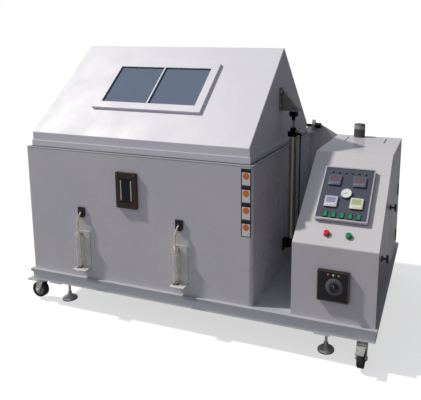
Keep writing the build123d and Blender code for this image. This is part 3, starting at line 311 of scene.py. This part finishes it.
# %% Powder coat
def powder_coat(name, tone, scuff, roughness, scuff_share=0.25):
    """Baked powder on steel: orange peel, and dull scuffs where it is walked and leaned on."""
    material = new_material(name)
    place = object_place(material)
    peel = noise(material, place, Scale=170.0, Detail=1.5)
    drag = add(material, "Mapping", {"Vector": place}, Scale=(3.0, 11.0, 6.0)).outputs[0]
    marks = noise(material, drag, Scale=3.0, Detail=6.0, Roughness=0.7)
    worn = spread(material, marks, 0.5, 0.72, 0.0, scuff_share * 2)
    link(material, mix(material, tone, scuff, share=worn), "Base Color")
    link(material, spread(material, marks, 0.4, 0.7, roughness, roughness + 0.2), "Roughness")
    relief(material, peel, 0.15, 0.0008)
    return material


base_coat = powder_coat("powder_coated_steel", "B4B5BE", "9C9EA6", 0.30)
# The frame's tubes carry the deck's powder coat, painted much paler as painted light, to make up
# for the shade that the deck's lip casts on them.
frame_coat_painted_light = powder_coat("powder_coated_tube_painted_light", "E2E3E8", "CFD0D6", 0.36)
board_coat = powder_coat("zinc_primed_board", "B9BBB2", "A5A79E", 0.5)
dress(base_coat, "base_deck")
dress(frame_coat_painted_light, "base_frame")
dress(board_coat, "control_plate")

# %% [markdown]
# ## Metals
#
# One function makes every metal, and its numbers tell them apart. Zinc plate on the casters is
# dull and mottled. Chrome on the piston rod and the feet is smooth and mirrors the stage, but the
# rod's chrome is painted darker as painted shade, for the dark surroundings it mirrors, and the
# feet's bells are painted a paler, partly matt chrome as painted highlight. The cylinder's barrel
# is aluminium, drawn through a die and anodised a light olive, with fine lines along its length,
# and stainless steel shows the lines of a grinding belt. The shaft and the cylinder's mount are
# blackened in a hot oxide bath, a brown black with an oily gloss.

# %% Metals
def metal(name, tone, roughness, mottle=0.06, line_scale=(1.0, 1.0, 1.0), texture=60.0,
          depth=0.05, metallic=1.0):
    """A metal with its mottling or its drawn lines, which both dull the gloss a little."""
    material = new_material(name)
    place = object_place(material)
    drawn = add(material, "Mapping", {"Vector": place}, Scale=line_scale).outputs[0]
    grain = noise(material, drawn, Scale=texture, Detail=3.0)
    shade = spread(material, grain, 0.3, 0.7, 1 - 2 * mottle, 1 + mottle)
    link(material, mix(material, tone, shade, how="MULTIPLY"), "Base Color")
    link(material, spread(material, grain, 0.3, 0.7, roughness, roughness + 0.1), "Roughness")
    relief(material, grain, depth, 0.0004)
    shader_of(material).inputs["Metallic"].default_value = metallic
    return material


zinc_plate = metal("zinc_plated_steel", "D8D8D4", 0.36, mottle=0.10, metallic=0.5)
chrome = metal("polished_chrome", "E6E7E8", 0.10, mottle=0.02, texture=20.0)
# The rod's chrome is painted dark as painted shade: it stands in for the dark surroundings that the
# rod mirrors.
chrome_rod_painted_shade = metal("chromed_rod_painted_dark", "9A9B9E", 0.14, mottle=0.02, texture=20.0)
# The feet's bells are a paler, partly matt chrome as painted highlight, for the bright reflections
# on their domes.
bell_chrome_painted_highlight = metal("chromed_pressing_painted_highlight", "F2F0EA", 0.22, mottle=0.02, texture=20.0,
                    metallic=0.6)
bronze_screw = metal("bronzed_screw", "8A7A5C", 0.35)
stainless = metal("ground_stainless_steel", "BDBDB9", 0.32, line_scale=(1.0, 1.0, 14.0),
                  texture=45.0)
anodised = metal("anodised_aluminium_tube", "BBB79F", 0.30, line_scale=(10.0, 10.0, 0.4),
                 texture=80.0)
satin_aluminium = metal("satin_aluminium_trim", "C9C9CC", 0.34, line_scale=(1.0, 8.0, 8.0),
                        texture=50.0)
black_oxide = metal("oxide_blackened_steel", "2A2826", 0.38, mottle=0.12, metallic=0.7)
# The lid's bracket is drawn a dark grey as painted shade, for the shade it stands in beside the
# gable.
bracket_steel_painted_shade = metal("bracket_steel_grey_as_painted_shade", "8B8984", 0.40, metallic=0.35)

# %% Where the metals go
dress(zinc_plate, "caster_plates", *nodes_named("caster_fork"), *nodes_named("brake_pedal"))
dress(chrome_rod_painted_shade, "piston_rod")
dress(bell_chrome_painted_highlight, *nodes_named("levelling_foot"))
dress(stainless, "hinge_bearings", "hinge_lugs", "heater_element", "saturator_tank")
dress(anodised, "air_cylinder")
dress(satin_aluminium, "instrument_panel")
dress(black_oxide, "hinge_shaft", "cylinder_mount")
dress(bracket_steel_painted_shade, "lid_bracket")

# %% [markdown]
# The cylinder's cast ends, the rod's clevis and the fork of the lid's bracket are black, though
# each is one piece with the bare metal next to it. A material can tell them apart by height, so
# black paint is mixed in between two heights, with an edge 1 mm wide.

# %% Black ends
def blacken(material, low, high, half_edge=0.0005):
    """Paint a metal black between two heights, with a narrow edge at each."""
    height = add(material, "SeparateXYZ", {0: object_place(material)}).outputs["Z"]
    above = spread(material, height, low - half_edge, low + half_edge)
    below = spread(material, height, high + half_edge, high - half_edge)
    inside = add(material, "Math", {0: above, 1: below}, operation="MULTIPLY").outputs[0]
    bare = shader_of(material).inputs["Base Color"].links[0].from_socket
    link(material, mix(material, bare, "1D1C1E", share=inside), "Base Color")


black_ends = {  # heights at rest, in metres above the floor
    "cylinder head": (anodised, 0.886, 0.95),
    "cylinder end cap": (anodised, 0.30, 0.360),
    "bracket fork": (bracket_steel_painted_shade, 0.97, 1.013),
    "rod clevis": (chrome_rod_painted_shade, 0.966, 1.02),
}
for part, (material, low, high) in black_ends.items():
    blacken(material, low, high)
    print("black", part, "from", low, "to", high)

# %% [markdown]
# ## Moulded plastics and rubber
#
# The rest is injection-moulded ABS, nylon and rubber. Moulded parts are even in colour, with a
# fine spark-eroded grain. The grain is under half a millimetre, so it is drawn at 1.5 mm. Each
# plastic is one call of the same function, because only its numbers differ.

# %% Plastics
def moulded(name, tone, roughness, grain=650.0, depth=0.08, mottle=0.04, ior=1.53):
    """A moulded part: an even colour that its grain breaks up very slightly."""
    material = new_material(name)
    eroded = noise(material, object_place(material), Scale=grain, Detail=2.0)
    shade = spread(material, eroded, 0.3, 0.7, 1 - mottle, 1 + mottle)
    link(material, mix(material, tone, shade, how="MULTIPLY"), "Base Color")
    relief(material, eroded, depth, 0.0003)
    shader_of(material).inputs["Roughness"].default_value = roughness
    shader_of(material).inputs["IOR"].default_value = ior
    return material


black_abs = moulded("black_abs", "1E1D20", 0.30)
grey_abs = moulded("grey_abs_cap", "55555A", 0.42)
tyre_rubber = moulded("grey_black_tyre_rubber", "2B2C30", 0.62, mottle=0.1)
red_abs = moulded("red_abs", "D01F24", 0.20)
green_abs = moulded("green_abs", "00875A", 0.20)
lamp_lens = moulded("dark_lamp_lens", "4A5650", 0.15)
rocker_green = moulded("green_rocker_abs", "10925F", 0.25)
navy_hose = moulded("navy_polyurethane_hose", "1B2547", 0.28)
cream_hose = moulded("cream_silicone_tube", "EFE3C2", 0.35, mottle=0.06)
bezel_grey = moulded("dark_grey_abs_bezel", "5C6074", 0.35)
hub_grey = moulded("grey_nylon_hub", "8C8C88", 0.45)
cap_band = moulded("pale_cap_band", "9A9AA0", 0.4)
tag_board = moulded("coated_tag_board", "E4E1E2", 0.40)
orange_ink = moulded("orange_screen_ink", "E07A1E", 0.40)

# %% Plastics of the panel
slate_film = moulded("slate_polyester_film", "4C4D5E", 0.30, grain=300.0)
white_abs = moulded("white_abs", "E9E9E6", 0.35)
skirt_grey = moulded("grey_dial_skirt", "5E5E64", 0.30)
key_grey = moulded("blue_grey_keys", "7E8AA0", 0.35)
window_brown = moulded("dark_red_filter_window", "6F5558", 0.15)
display_lavender = moulded("lavender_display", "8E92B4", 0.20)
display_green = moulded("grey_green_display", "A9B594", 0.20)
bezel_cream = moulded("cream_abs_bezel", "D3D5BE", 0.35)
bezel_pale = moulded("pale_abs_bezel", "C4BEC4", 0.35)
lamp_pink = moulded("pink_lamp_lens", "C86A72", 0.2)
lamp_white = moulded("white_lamp_lens", "D8CDB8", 0.2)
lamp_amber = moulded("amber_lamp_lens", "D0893A", 0.2)

# %% Where the plastics go
dress(black_abs, "dial_unit", "dial_knob", "drip_ports", "latch_lower", "latch_upper")
dress(grey_abs, "filler_cap")
dress(tyre_rubber, *nodes_named("caster_wheel"))
dress(red_abs, "push_button_red")
dress(green_abs, "push_button_green")
dress(lamp_lens, "indicator_lamps")
dress(rocker_green, *nodes_named("rocker_switch"))
dress(navy_hose, "air_hose")
dress(cream_hose, "drip_spouts")
dress(bezel_grey, "panel_meters")

# %% [markdown]
# ## Glass and acrylic
#
# The lid's panes are tempered glass with a blue-grey tint. From outside they look like slate,
# because the chamber behind them is dark, so most of what is seen is the tint and a thin gloss.
# The measuring cylinders, the mist tower and the mist funnels are clear, and the shelves under
# the cylinders are milky acrylic. The level gauge's frame is bronze-tinted acrylic.

# %% Glass and acrylic
def clear_plastic(name, tone, roughness, transmission, ior):
    """A clear or tinted pane: light goes through in part, and fine dust dulls its gloss."""
    material = new_material(name)
    dust = noise(material, object_place(material), Scale=24.0, Detail=5.0)
    link(material, spread(material, dust, 0.35, 0.7, roughness, roughness + 0.08), "Roughness")
    shader = shader_of(material)
    shader.inputs["Base Color"].default_value = linear(tone)
    shader.inputs["Transmission Weight"].default_value = transmission
    shader.inputs["IOR"].default_value = ior
    return material


window_glass = clear_plastic("tinted_tempered_glass", "6C7A8F", 0.04, 0.12, 1.52)
clear_acrylic = clear_plastic("clear_acrylic", "F4F4F0", 0.06, 0.85, 1.49)
milky_acrylic = clear_plastic("milky_acrylic", "DCD8D6", 0.22, 0.08, 1.49)
bronze_acrylic = clear_plastic("bronze_acrylic", "4A3524", 0.10, 0.25, 1.49)
smoked_acrylic = clear_plastic("smoked_acrylic_sight_glass", "17171A", 0.05, 0.3, 1.49)
dress(window_glass, "window_panes")
dress(clear_acrylic, "spray_tower", "fog_funnels", "measuring_cylinders")
dress(milky_acrylic, "cylinder_shelves")
dress(bronze_acrylic, "level_gauge_frame")
dress(smoked_acrylic, "level_gauge_glass")

# %% [markdown]
# ## Tools of the bench
#
# The small pieces all start the same way: one primitive, opened in edit mode with a few faces or
# edges selected, then moved to its place on the chamber. Each is modelled lying at the origin,
# because that is where its numbers are easy to read. Its place is applied at the end, so that the
# finished mesh holds it, as a CAD node's mesh does. The names of places say what a number
# measures: x runs from the base's left end, y from its front edge, z from the floor, and s up a
# slope.

# %% Places on the chamber
base_left, base_front = -0.8515, -0.4985  # the base's left front corner, in metres
cabinet_front, console_front = 17.0, 18.0  # the rest is in millimetres
slope_foot_z, slope_angle = 518, radians(38.2204)
eave_y, eave_z, roof_angle = 43, 894, radians(42.2494)


def mm(*lengths):
    """Millimetres turned to metres."""
    return tuple(length / 1000 for length in lengths)


def base(x, y, z):
    """A point given in millimetres from the base's left front corner, up from the floor."""
    return Matrix.Translation((base_left + x / 1000, base_front + y / 1000, z / 1000))


def on_front(x, z, y):
    """A place on an upright front: the piece's Z points out to the viewer, and its Y up."""
    return base(x, y, z) @ Matrix.Rotation(pi / 2, 4, "X")


def on_slope(x, s, out):
    """A place on the console's slope: s up the slope, and out square from it."""
    foot = base(0, console_front, slope_foot_z) @ Matrix.Rotation(slope_angle, 4, "X")
    return foot @ Matrix.Translation(mm(x, s, out))


def on_roof(x, s, out):
    """A place on the lid's front roof, measured in the same way."""
    eave = base(0, eave_y, eave_z) @ Matrix.Rotation(roof_angle, 4, "X")
    return eave @ Matrix.Translation(mm(x, s, out))


def on_right(x, y, z):
    """A place on a right-hand side: the piece's Z points to +X, its X to the rear, its Y up."""
    facing = Matrix(((0, 0, 1, 0), (1, 0, 0, 0), (0, 1, 0, 0), (0, 0, 0, 1)))
    return base(x, y, z) @ facing


def spun(degrees):
    """A turn about the piece's own Z."""
    return Matrix.Rotation(radians(degrees), 4, "Z")


# %% Plates and turned pieces
def only(piece):
    """Select this piece alone and make it the active one."""
    bpy.ops.object.select_all(action="DESELECT")
    piece.select_set(True)
    bpy.context.view_layer.objects.active = piece


def plate(name, width, height, thick, corner=0.0):
    """A plate at the origin: a square scaled to size, its corners rounded, then thickened."""
    bpy.ops.object.select_all(action="DESELECT")
    bpy.ops.mesh.primitive_plane_add(size=1)
    piece = bpy.context.object
    piece.name = name
    piece.scale = (width / 1000, height / 1000, 1)
    bpy.ops.object.transform_apply(location=False, rotation=False, scale=True)
    bpy.ops.object.mode_set(mode="EDIT")
    if corner:
        bpy.ops.mesh.bevel(offset=corner / 1000, segments=4, affect="VERTICES")
    bpy.ops.mesh.select_all(action="SELECT")
    bpy.ops.mesh.extrude_region_move(TRANSFORM_OT_translate={"value": (0, 0, thick / 1000)})
    bpy.ops.mesh.select_all(action="SELECT")
    bpy.ops.mesh.normals_make_consistent(inside=False)
    bpy.ops.object.mode_set(mode="OBJECT")
    return piece


def turned(name, profile, steps=32):
    """A lathe piece: a half profile of (radius, height) in millimetres, spun about Z and closed."""
    bpy.ops.object.select_all(action="DESELECT")
    bpy.ops.mesh.primitive_plane_add(size=1)
    piece = bpy.context.object
    piece.name = name
    bpy.ops.object.mode_set(mode="EDIT")
    drawing = bmesh.from_edit_mesh(piece.data)
    bmesh.ops.delete(drawing, geom=list(drawing.verts), context="VERTS")
    points = [drawing.verts.new((radius / 1000, 0, height / 1000)) for radius, height in profile]
    for first, second in zip(points, points[1:]):
        drawing.edges.new((first, second)).select_set(True)
    bmesh.update_edit_mesh(piece.data)
    bpy.ops.mesh.spin(steps=steps, angle=2 * pi, center=(0, 0, 0), axis=(0, 0, 1))
    bpy.ops.mesh.select_all(action="SELECT")
    bpy.ops.mesh.remove_doubles(threshold=0.00002)
    bpy.ops.mesh.normals_make_consistent(inside=False)
    bpy.ops.object.mode_set(mode="OBJECT")
    return piece


# %% Picking, rounding and cutting
def pick_faces(piece, test):
    """Open a piece in edit mode, with only the faces selected that pass a test."""
    only(piece)
    bpy.ops.object.mode_set(mode="EDIT")
    bpy.ops.mesh.select_mode(type="FACE")
    bpy.ops.mesh.select_all(action="DESELECT")
    drawing = bmesh.from_edit_mesh(piece.data)
    for face in drawing.faces:
        face.select_set(test(face))
    bmesh.update_edit_mesh(piece.data)


def soften(piece, width, segments=2, sharp=40):
    """Round the edges of a piece that are sharper than this many degrees."""
    only(piece)
    rounding = piece.modifiers.new("edge_rounding", "BEVEL")
    rounding.width = width / 1000
    rounding.segments = segments
    rounding.limit_method = "ANGLE"
    rounding.angle_limit = radians(sharp)
    bpy.ops.object.modifier_apply(modifier=rounding.name)


def cut(piece, cutter):
    """Cut one piece out of another, and throw the cutter away."""
    only(piece)
    opening = piece.modifiers.new("cut_out", "BOOLEAN")
    opening.operation = "DIFFERENCE"
    opening.object = cutter
    bpy.ops.object.modifier_apply(modifier=opening.name)
    bpy.data.objects.remove(cutter)


# %% Placing a piece
def repeat(piece, places):
    """Copy a piece to each place, each copy with its own mesh, and join the copies into one."""
    copies = []
    for place in places:
        copy = piece.copy()
        copy.data = piece.data.copy()
        bpy.context.collection.objects.link(copy)
        copy.matrix_world = place
        copies.append(copy)
    name = piece.name
    bpy.data.objects.remove(piece)
    bpy.ops.object.select_all(action="DESELECT")
    for copy in copies:
        copy.select_set(True)
    bpy.context.view_layer.objects.active = copies[0]
    bpy.ops.object.transform_apply(location=True, rotation=True, scale=True)
    if len(copies) > 1:
        bpy.ops.object.join()
    joined = bpy.context.view_layer.objects.active
    joined.name = name
    return joined


def finish(piece, material, body="root", place=None, smooth=35):
    """Put a piece in its place, smooth and dress it, and let it ride on its body."""
    only(piece)
    if place is not None:
        piece.matrix_world = place
    bpy.ops.object.transform_apply(location=True, rotation=True, scale=True)
    bpy.ops.object.shade_smooth_by_angle(angle=radians(smooth))
    piece.data.materials.clear()
    piece.data.materials.append(material)
    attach(piece, body)
    print(piece.name, len(piece.data.polygons), "faces, on", body)


# %% [markdown]
# ## Plain tags on the cabinet
#
# A column of four tags hangs at the cabinet's right edge. Each is a small card of coated board
# with a dark border that is deeper at its head. Here they carry no words and no sign, only a pale
# field and a plain orange spot. The border, the field and the spot are three thin plates on each
# other, because a real edge catches the light better than a painted one.

# %% Tags
tag_x, tag_low, tag_pitch = 1172.5, 548, 75.5
field_drop, spot_rise = 6.5, 5
tag_places = [(tag_x, tag_low + number * tag_pitch) for number in range(4)]
borders = repeat(plate("tag_borders", 46, 74.5, 0.5, corner=2),
                 [on_front(x, z, cabinet_front) for x, z in tag_places])
finish(borders, black_abs)
fields = repeat(plate("tag_fields", 37, 55, 0.8, corner=1),
                [on_front(x, z - field_drop, cabinet_front) for x, z in tag_places])
finish(fields, tag_board)
spots = repeat(turned("tag_spots", [(0, 0), (14.5, 0), (14.5, 1.1), (0, 1.1)], steps=24),
               [on_front(x, z + spot_rise, cabinet_front) for x, z in tag_places])
finish(spots, orange_ink)

# %% [markdown]
# ## Level gauge
#
# The gauge on the cabinet's front is a thick bronze acrylic frame over a dark sight glass. Four
# raised screws hold its corners, and a bright steel strip guards the glass on each side. The
# strips could be flat bars, but each shows as a thin line of light in the photograph, as a rounded
# bar does. So each is a plate with its edges well rounded.

# %% Gauge screws and guards
def cap_screw(name, radius, height, rim=0.85, socket=0.5):
    """A socket-head screw: a turned head with a hexagonal socket let into its top."""
    profile = [(0, 0), (radius, 0), (radius, height * rim), (radius * rim, height), (0, height)]
    head = turned(name, profile, steps=20)
    bpy.ops.object.select_all(action="DESELECT")
    bpy.ops.mesh.primitive_cylinder_add(vertices=6, radius=radius * socket / 1000,
                                        depth=height / 1000, location=(0, 0, height / 1000))
    cut(head, bpy.context.object)
    return head


level_x, level_z, level_face = 583, 659, 5
screw_across, screw_up = 45, 74
guard_across, guard_face = 27, 7
screw_places = [on_front(level_x + side * screw_across, level_z + rise * screw_up, level_face)
                for side in (-1, 1) for rise in (-1, 1)]
finish(repeat(cap_screw("gauge_screws", 5, 3), screw_places), bronze_screw)
guard = plate("gauge_guards", 7, 96, 3)
soften(guard, 1.4, segments=3)
guard_places = [on_front(level_x + side * guard_across, level_z, guard_face) for side in (-1, 1)]
finish(repeat(guard, guard_places), chrome)

# %% [markdown]
# ## Drip ports and their collecting shelves
#
# A cream tube comes out of each black port and hangs into a clear measuring cylinder on a shelf.
# A rubber grommet closes the port round the tube, and a short sleeve holds the tube's end. Two
# rows of steel rivets hold each acrylic shelf to the cabinet, and six studs stand on its ledge.

# %% Grommets and sleeves
port_xs, port_z, port_face = (322, 851), 524, 9
tube_left, tube_y, sleeve_z = 14, -1.5, 396  # the tube hangs a little left of its port
grommet = turned("port_grommets", [(4.2, -3), (8.8, -3), (8.8, 2), (6.5, 4), (4.2, 4), (4.2, -3)])
finish(repeat(grommet, [on_front(x, port_z, port_face) for x in port_xs]), tyre_rubber)
sleeve = turned("tube_sleeves",
                [(4.1, 0), (6.2, 0), (6.2, 30), (5.2, 32), (4.1, 32), (4.1, 0)])
finish(repeat(sleeve, [base(x - tube_left, tube_y, sleeve_z) for x in port_xs]), cream_hose)

# %% Rivets and studs
shelf_left, shelf_half = 30, 35  # the shelf's left edge from its port, and half its width
rivet_low, rivet_pitch, shelf_face = 268, 42, 14
ledge_y, ledge_z = -35, 247
rivet = turned("shelf_rivets", [(0, 0), (2.0, 0), (1.8, 0.4), (1.0, 0.7), (0, 0.8)], steps=12)
rivet_places = [on_front(x - shelf_left + shelf_half + across, rivet_low + row * rivet_pitch,
                         shelf_face)
                for x in port_xs for across in (-22, 22) for row in range(4)]
finish(repeat(rivet, rivet_places), stainless)
stud = turned("shelf_studs", [(0, 0), (3.2, 0), (3.0, 0.5), (0, 0.8)], steps=12)
stud_places = [base(x - shelf_left + across, ledge_y + deep, ledge_z)
               for x in port_xs for across in (12, 35, 58) for deep in (0, 18)]
finish(repeat(stud, stud_places), stainless)

# %% [markdown]
# ## Instrument panel
#
# The panel on the console's slope is a silver tray with a slate film over its face. The film could
# be painted on by a material, but the real one is a sheet with a die-cut opening round each rocker,
# so it is a thin plate with five openings cut by a boolean. Black frames stand in the openings.

# %% Panel film and rocker frames
panel_x, panel_s, panel_face = 1563, 261, 18
film_thick = 0.6
rocker_s, rocker_xs = 142, [1495 + number * 35.5 for number in range(5)]
film = plate("panel_film", 215.4, 273.4, film_thick, corner=3)
opening_places = [Matrix.Translation(mm(x - panel_x, rocker_s - panel_s, -2)) for x in rocker_xs]
cut(film, repeat(plate("film_openings", 17.4, 26, 4), opening_places))
finish(film, slate_film, place=on_slope(panel_x, panel_s, panel_face))
rim = plate("rocker_frames", 21, 30, 1.6, corner=1.5)
cut(rim, plate("frame_opening", 16.6, 25.4, 4))
rim_places = [on_slope(x, rocker_s, panel_face + film_thick) for x in rocker_xs]
finish(repeat(rim, rim_places), black_abs)

# %% [markdown]
# ## Meters
#
# Two controllers sit at the top of the panel, a timer and a counter below. Each has a moulded cover
# with a window in its upper half, a tinted filter behind the window, and a strip of keys below.
# The windows carry no figures, because the instruments are switched off.

# %% Covers, filters and keys
meter_face = panel_face + 8
cover_thick, window_rise, key_drop, key_pitch = 1.4, 7, 17, 10.5


def meter_front(name, x, s, cover, cover_slot, filter_glass, keys):
    """One meter's cover with its window cut out, the filter in the window, and a row of keys."""
    front = plate(f"{name}_cover", 55.6, 55.6, cover_thick, corner=3)
    window = plate(f"{name}_window_cut", 39.4, 26, 4)
    window.location = mm(0, window_rise, -1)
    cut(front, window)
    soften(front, 0.5)
    finish(front, cover, place=on_slope(x, s, meter_face))
    finish(plate(f"{name}_filter", 39.2, 25.8, 0.8), filter_glass,
           place=on_slope(x, s + window_rise, meter_face))
    key_places = [on_slope(x + (number - 1.5) * key_pitch, s - key_drop, meter_face + cover_thick)
                  for number in range(4)]
    row = repeat(plate(f"{name}_keys", 7, 8, 1.2, corner=1.5), key_places)
    finish(row, keys)


meters = (  # name, x and s of its middle, cover and its slot, filter, keys
    ("controller_left", 1505, 324, bezel_grey, "black_plastic", window_brown, key_grey),
    ("controller_right", 1616, 324, bezel_grey, "black_plastic", window_brown, key_grey),
    ("timer", 1508, 207, bezel_pale, "meter_plastic", display_lavender, white_abs),
    ("counter", 1619, 207, bezel_cream, "meter_plastic", display_green, white_abs),
)
for meter in meters:
    meter_front(*meter)

# %% [markdown]
# ## Pressure gauge
#
# The round gauge in the middle of the panel has a chrome ring, a white dial with plain ticks, and a
# thin needle on a bronzed hub. The ring is lathed, which gives it the rolled edge of a real one.
# The needle is a plate whose far end is picked and drawn in toward a point.

# %% Gauge
gauge = on_slope(1567, 255, panel_face + 10)
tick_first, tick_step, tick_count, tick_radius = -135, 27, 11, 18
needle_angle, point_share = 115, 0.3
ring_profile = [(22.5, 0), (22.8, 1.6), (24, 2.4), (25.2, 1.8), (25.6, 0), (25.6, -5),
                (24.4, -5), (22.5, 0)]
finish(turned("gauge_ring", ring_profile, 48), chrome, place=gauge)
finish(turned("gauge_dial", [(0, 0), (22.6, 0), (22.6, 0.4), (0, 0.4)], 48), white_abs,
       place=gauge)
tick_places = [gauge @ spun(tick_first + number * tick_step)
               @ Matrix.Translation(mm(0, tick_radius, 0.4)) for number in range(tick_count)]
finish(repeat(plate("gauge_ticks", 0.7, 4, 0.2), tick_places), black_abs)
needle = plate("gauge_needle", 1.6, 19, 0.5)
pick_faces(needle, lambda face: face.normal.y > 0.9)
bpy.ops.transform.resize(value=(point_share, 1, 1))
bpy.ops.object.mode_set(mode="OBJECT")
finish(needle, navy_hose,
       place=gauge @ spun(needle_angle) @ Matrix.Translation(mm(0, 5, 1)))
hub_profile = [(0, 0.4), (2.6, 0.4), (2.4, 1.9), (1, 2.3), (0, 2.4)]
finish(turned("gauge_hub", hub_profile, 20), bronze_screw, place=gauge)

# %% [markdown]
# ## Dial unit
#
# The timer dial below has a grey skirt round its black knob, a bronze line round its face, and
# three small lamps over the dial. The skirt is a shallow turned cone, so the light runs round it.

# %% Dial
dial_x, dial_z, dial_face = 1567, 353, 4
unit_x = 1561
lamp_left, lamp_pitch, lamp_z = 1540, 22, 403
mark_z, mark_y = 362, -16.1
skirt_profile = [(17.6, 0.3), (17.6, 4.4), (20, 4.8), (35, 2.9), (37.4, 1.4), (37.4, 0.3),
                 (17.6, 0.3)]
finish(turned("dial_skirt", skirt_profile, 48), skirt_grey,
       place=on_front(dial_x, dial_z, dial_face))
line = plate("dial_border", 132, 132, 0.8, corner=4)
cut(line, plate("border_opening", 125, 125, 3))
finish(line, bronze_screw, place=on_front(unit_x, dial_z, dial_face))
lens_profile = [(0, 0), (4.6, 0), (4.4, 1.6), (3, 2.8), (0, 3.2)]
lenses = (("pink", lamp_pink), ("white", lamp_white), ("amber", lamp_amber))
for number, (colour, tint) in enumerate(lenses):
    finish(turned(f"dial_lamp_{colour}", lens_profile, 20), tint,
           place=on_front(lamp_left + number * lamp_pitch, lamp_z, dial_face))
finish(plate("knob_mark", 1.4, 10, 0.5), white_abs, body="dial_knob",
       place=on_front(dial_x, mark_z, mark_y))

# %% [markdown]
# ## Button collars, filler cap and window gaskets
#
# Each push button stands in a thin collar. The filler cap has a pale ring at its head and ribs to
# grip it by. Each pane of the lid's window is held by a dark rubber gasket, which draws the fine
# line round the glass.

# %% Collars and cap
button_xs, button_s = (1515, 1608), 58
cap_x, cap_y, cap_z, rib_z = 1508, 902, 833, 838
rib_count, rib_radius = 24, 30.4
collar = turned("button_collars", [(12.4, 0), (14.3, 0), (14.1, 1.2), (13.6, 1.6), (12.4, 1.6),
                                   (12.4, 0)])
finish(repeat(collar, [on_slope(x, button_s, 0) for x in button_xs]), satin_aluminium)
band_profile = [(30.1, 46), (31.2, 47), (31.2, 66), (30.1, 68), (30.1, 46)]
finish(turned("cap_ring", band_profile, 48), cap_band, body="filler_cap",
       place=base(cap_x, cap_y, cap_z))
rib_places = [base(cap_x, cap_y, rib_z) @ spun(number * 360 / rib_count)
              @ Matrix.Translation(mm(0, rib_radius, 0)) for number in range(rib_count)]
finish(repeat(plate("cap_ribs", 1.6, 1.4, 36), rib_places), grey_abs,
       body="filler_cap")

# %% Gaskets
window_x, window_s, pane_out, pane_half_pitch = 586, 336, 6.1, 130.75
gasket = plate("pane_gaskets", 254.2, 247.8, 2.5)
cut(gasket, plate("gasket_opening", 249.6, 243, 6))
pane_places = [on_roof(window_x + side * pane_half_pitch, window_s, pane_out)
               for side in (-1, 1)]
finish(repeat(gasket, pane_places), tyre_rubber, body="lid")

# %% [markdown]
# ## Casters and feet
#
# A nut closes each caster's axle on both cheeks, and a moulded cover hides the wheel's hub on both
# sides. Each levelling foot has a bright bell over its pad and a lock nut on its stud. The casters
# are alike, and so are the feet, so each kind is drawn once and turned at every place. A turning
# in six steps gives a hexagonal nut.

# %% Hubs and axle nuts
hexagon = 6
axle_z = 57
wheel_places = {  # x, y, and the way the caster is turned in degrees
    "front_left": (2, 54, 0),
    "front_right": (1688, 16, 90),
    "rear_left": (78, 966, 0),
    "rear_right": (1650, 966, 0),
}
nut_profile = [(0, 22), (8.5, 22), (8.5, 25.5), (7.5, 26.5), (0, 26.5)]
cover_profile = [(5.2, 11.1), (28, 11.1), (28, 12.2), (22, 13.6), (14, 14.6), (5.2, 14.6),
                 (5.2, 11.1)]
for name, (x, y, heading) in wheel_places.items():
    axle = base(x, y, axle_z) @ spun(heading)
    both_sides = [axle @ Matrix.Rotation(side * pi / 2, 4, "X") for side in (1, -1)]
    nut = turned(f"axle_nuts_{name}", nut_profile, hexagon)
    finish(repeat(nut, both_sides), zinc_plate, body=f"caster_fork_{name}",
           smooth=20)
    cover = turned(f"hub_covers_{name}", cover_profile)
    finish(repeat(cover, both_sides), hub_grey, body=f"caster_wheel_{name}")

# %% Bells and lock nuts
foot_places = {
    "front_left": (141, 106),
    "front_right": (1520, 106),
    "rear_left": (141, 914),
    "rear_right": (1520, 914),
}
bell_profile = [(6.1, 28), (9, 26), (15, 21.5), (26, 16), (34, 10.5), (37.4, 5.5), (37.4, 1.2),
                (36.6, 1.2), (6.1, 24), (6.1, 28)]
lock_profile = [(6.1, 31), (10.5, 31), (10.5, 38), (6.1, 38), (6.1, 31)]
for name, (x, y) in foot_places.items():
    foot = f"levelling_foot_{name}"
    finish(turned(f"foot_bell_{name}", bell_profile, 48), bell_chrome_painted_highlight, body=foot,
           place=base(x, y, 0))
    finish(turned(f"lock_nut_{name}", lock_profile, hexagon), zinc_plate, body=foot,
           place=base(x, y, 0), smooth=20)

# %% [markdown]
# ## Bolts on the lift, and door hinges
#
# The lid's gusset is bolted through the gable, and the cylinder's black head is held by four
# round-headed screws. The console's door hangs on two steel knuckles at its rear edge.

# %% Bolts
gusset_x, lift_x, lift_y, head_z = 1184, 1245, 466, 912
bolt_profile = [(0, 0), (7, 0), (7, 3.5), (6, 4.5), (0, 4.5)]
bolt_places = [on_right(gusset_x, lift_y + side * 22, z) for side in (-1, 1) for z in (1040, 1108)]
finish(repeat(turned("bracket_bolts", bolt_profile, hexagon), bolt_places), zinc_plate,
       body="lid", smooth=20)
screw_profile = [(0, 0), (3.6, 0), (3.6, 3.6), (3, 4), (0, 4)]
head_places = [base(lift_x + across, lift_y + deep, head_z)
               for across in (-17, 17) for deep in (-17, 17)]
finish(repeat(turned("head_screws", screw_profile, 16), head_places), stainless,
       body="air_cylinder")

# %% Knuckles
door_pin_x, door_pin_y, knuckle_zs = 1740.5, 862, (300, 560)
knuckle = turned("door_knuckles", [(0, -30), (3.2, -30), (3.2, -10.5), (2.6, -10), (3.2, -9.5),
                                   (3.2, 9.5), (2.6, 10), (3.2, 10.5), (3.2, 30), (0, 30)], 20)
finish(repeat(knuckle, [base(door_pin_x, door_pin_y, z) for z in knuckle_zs]), black_oxide)
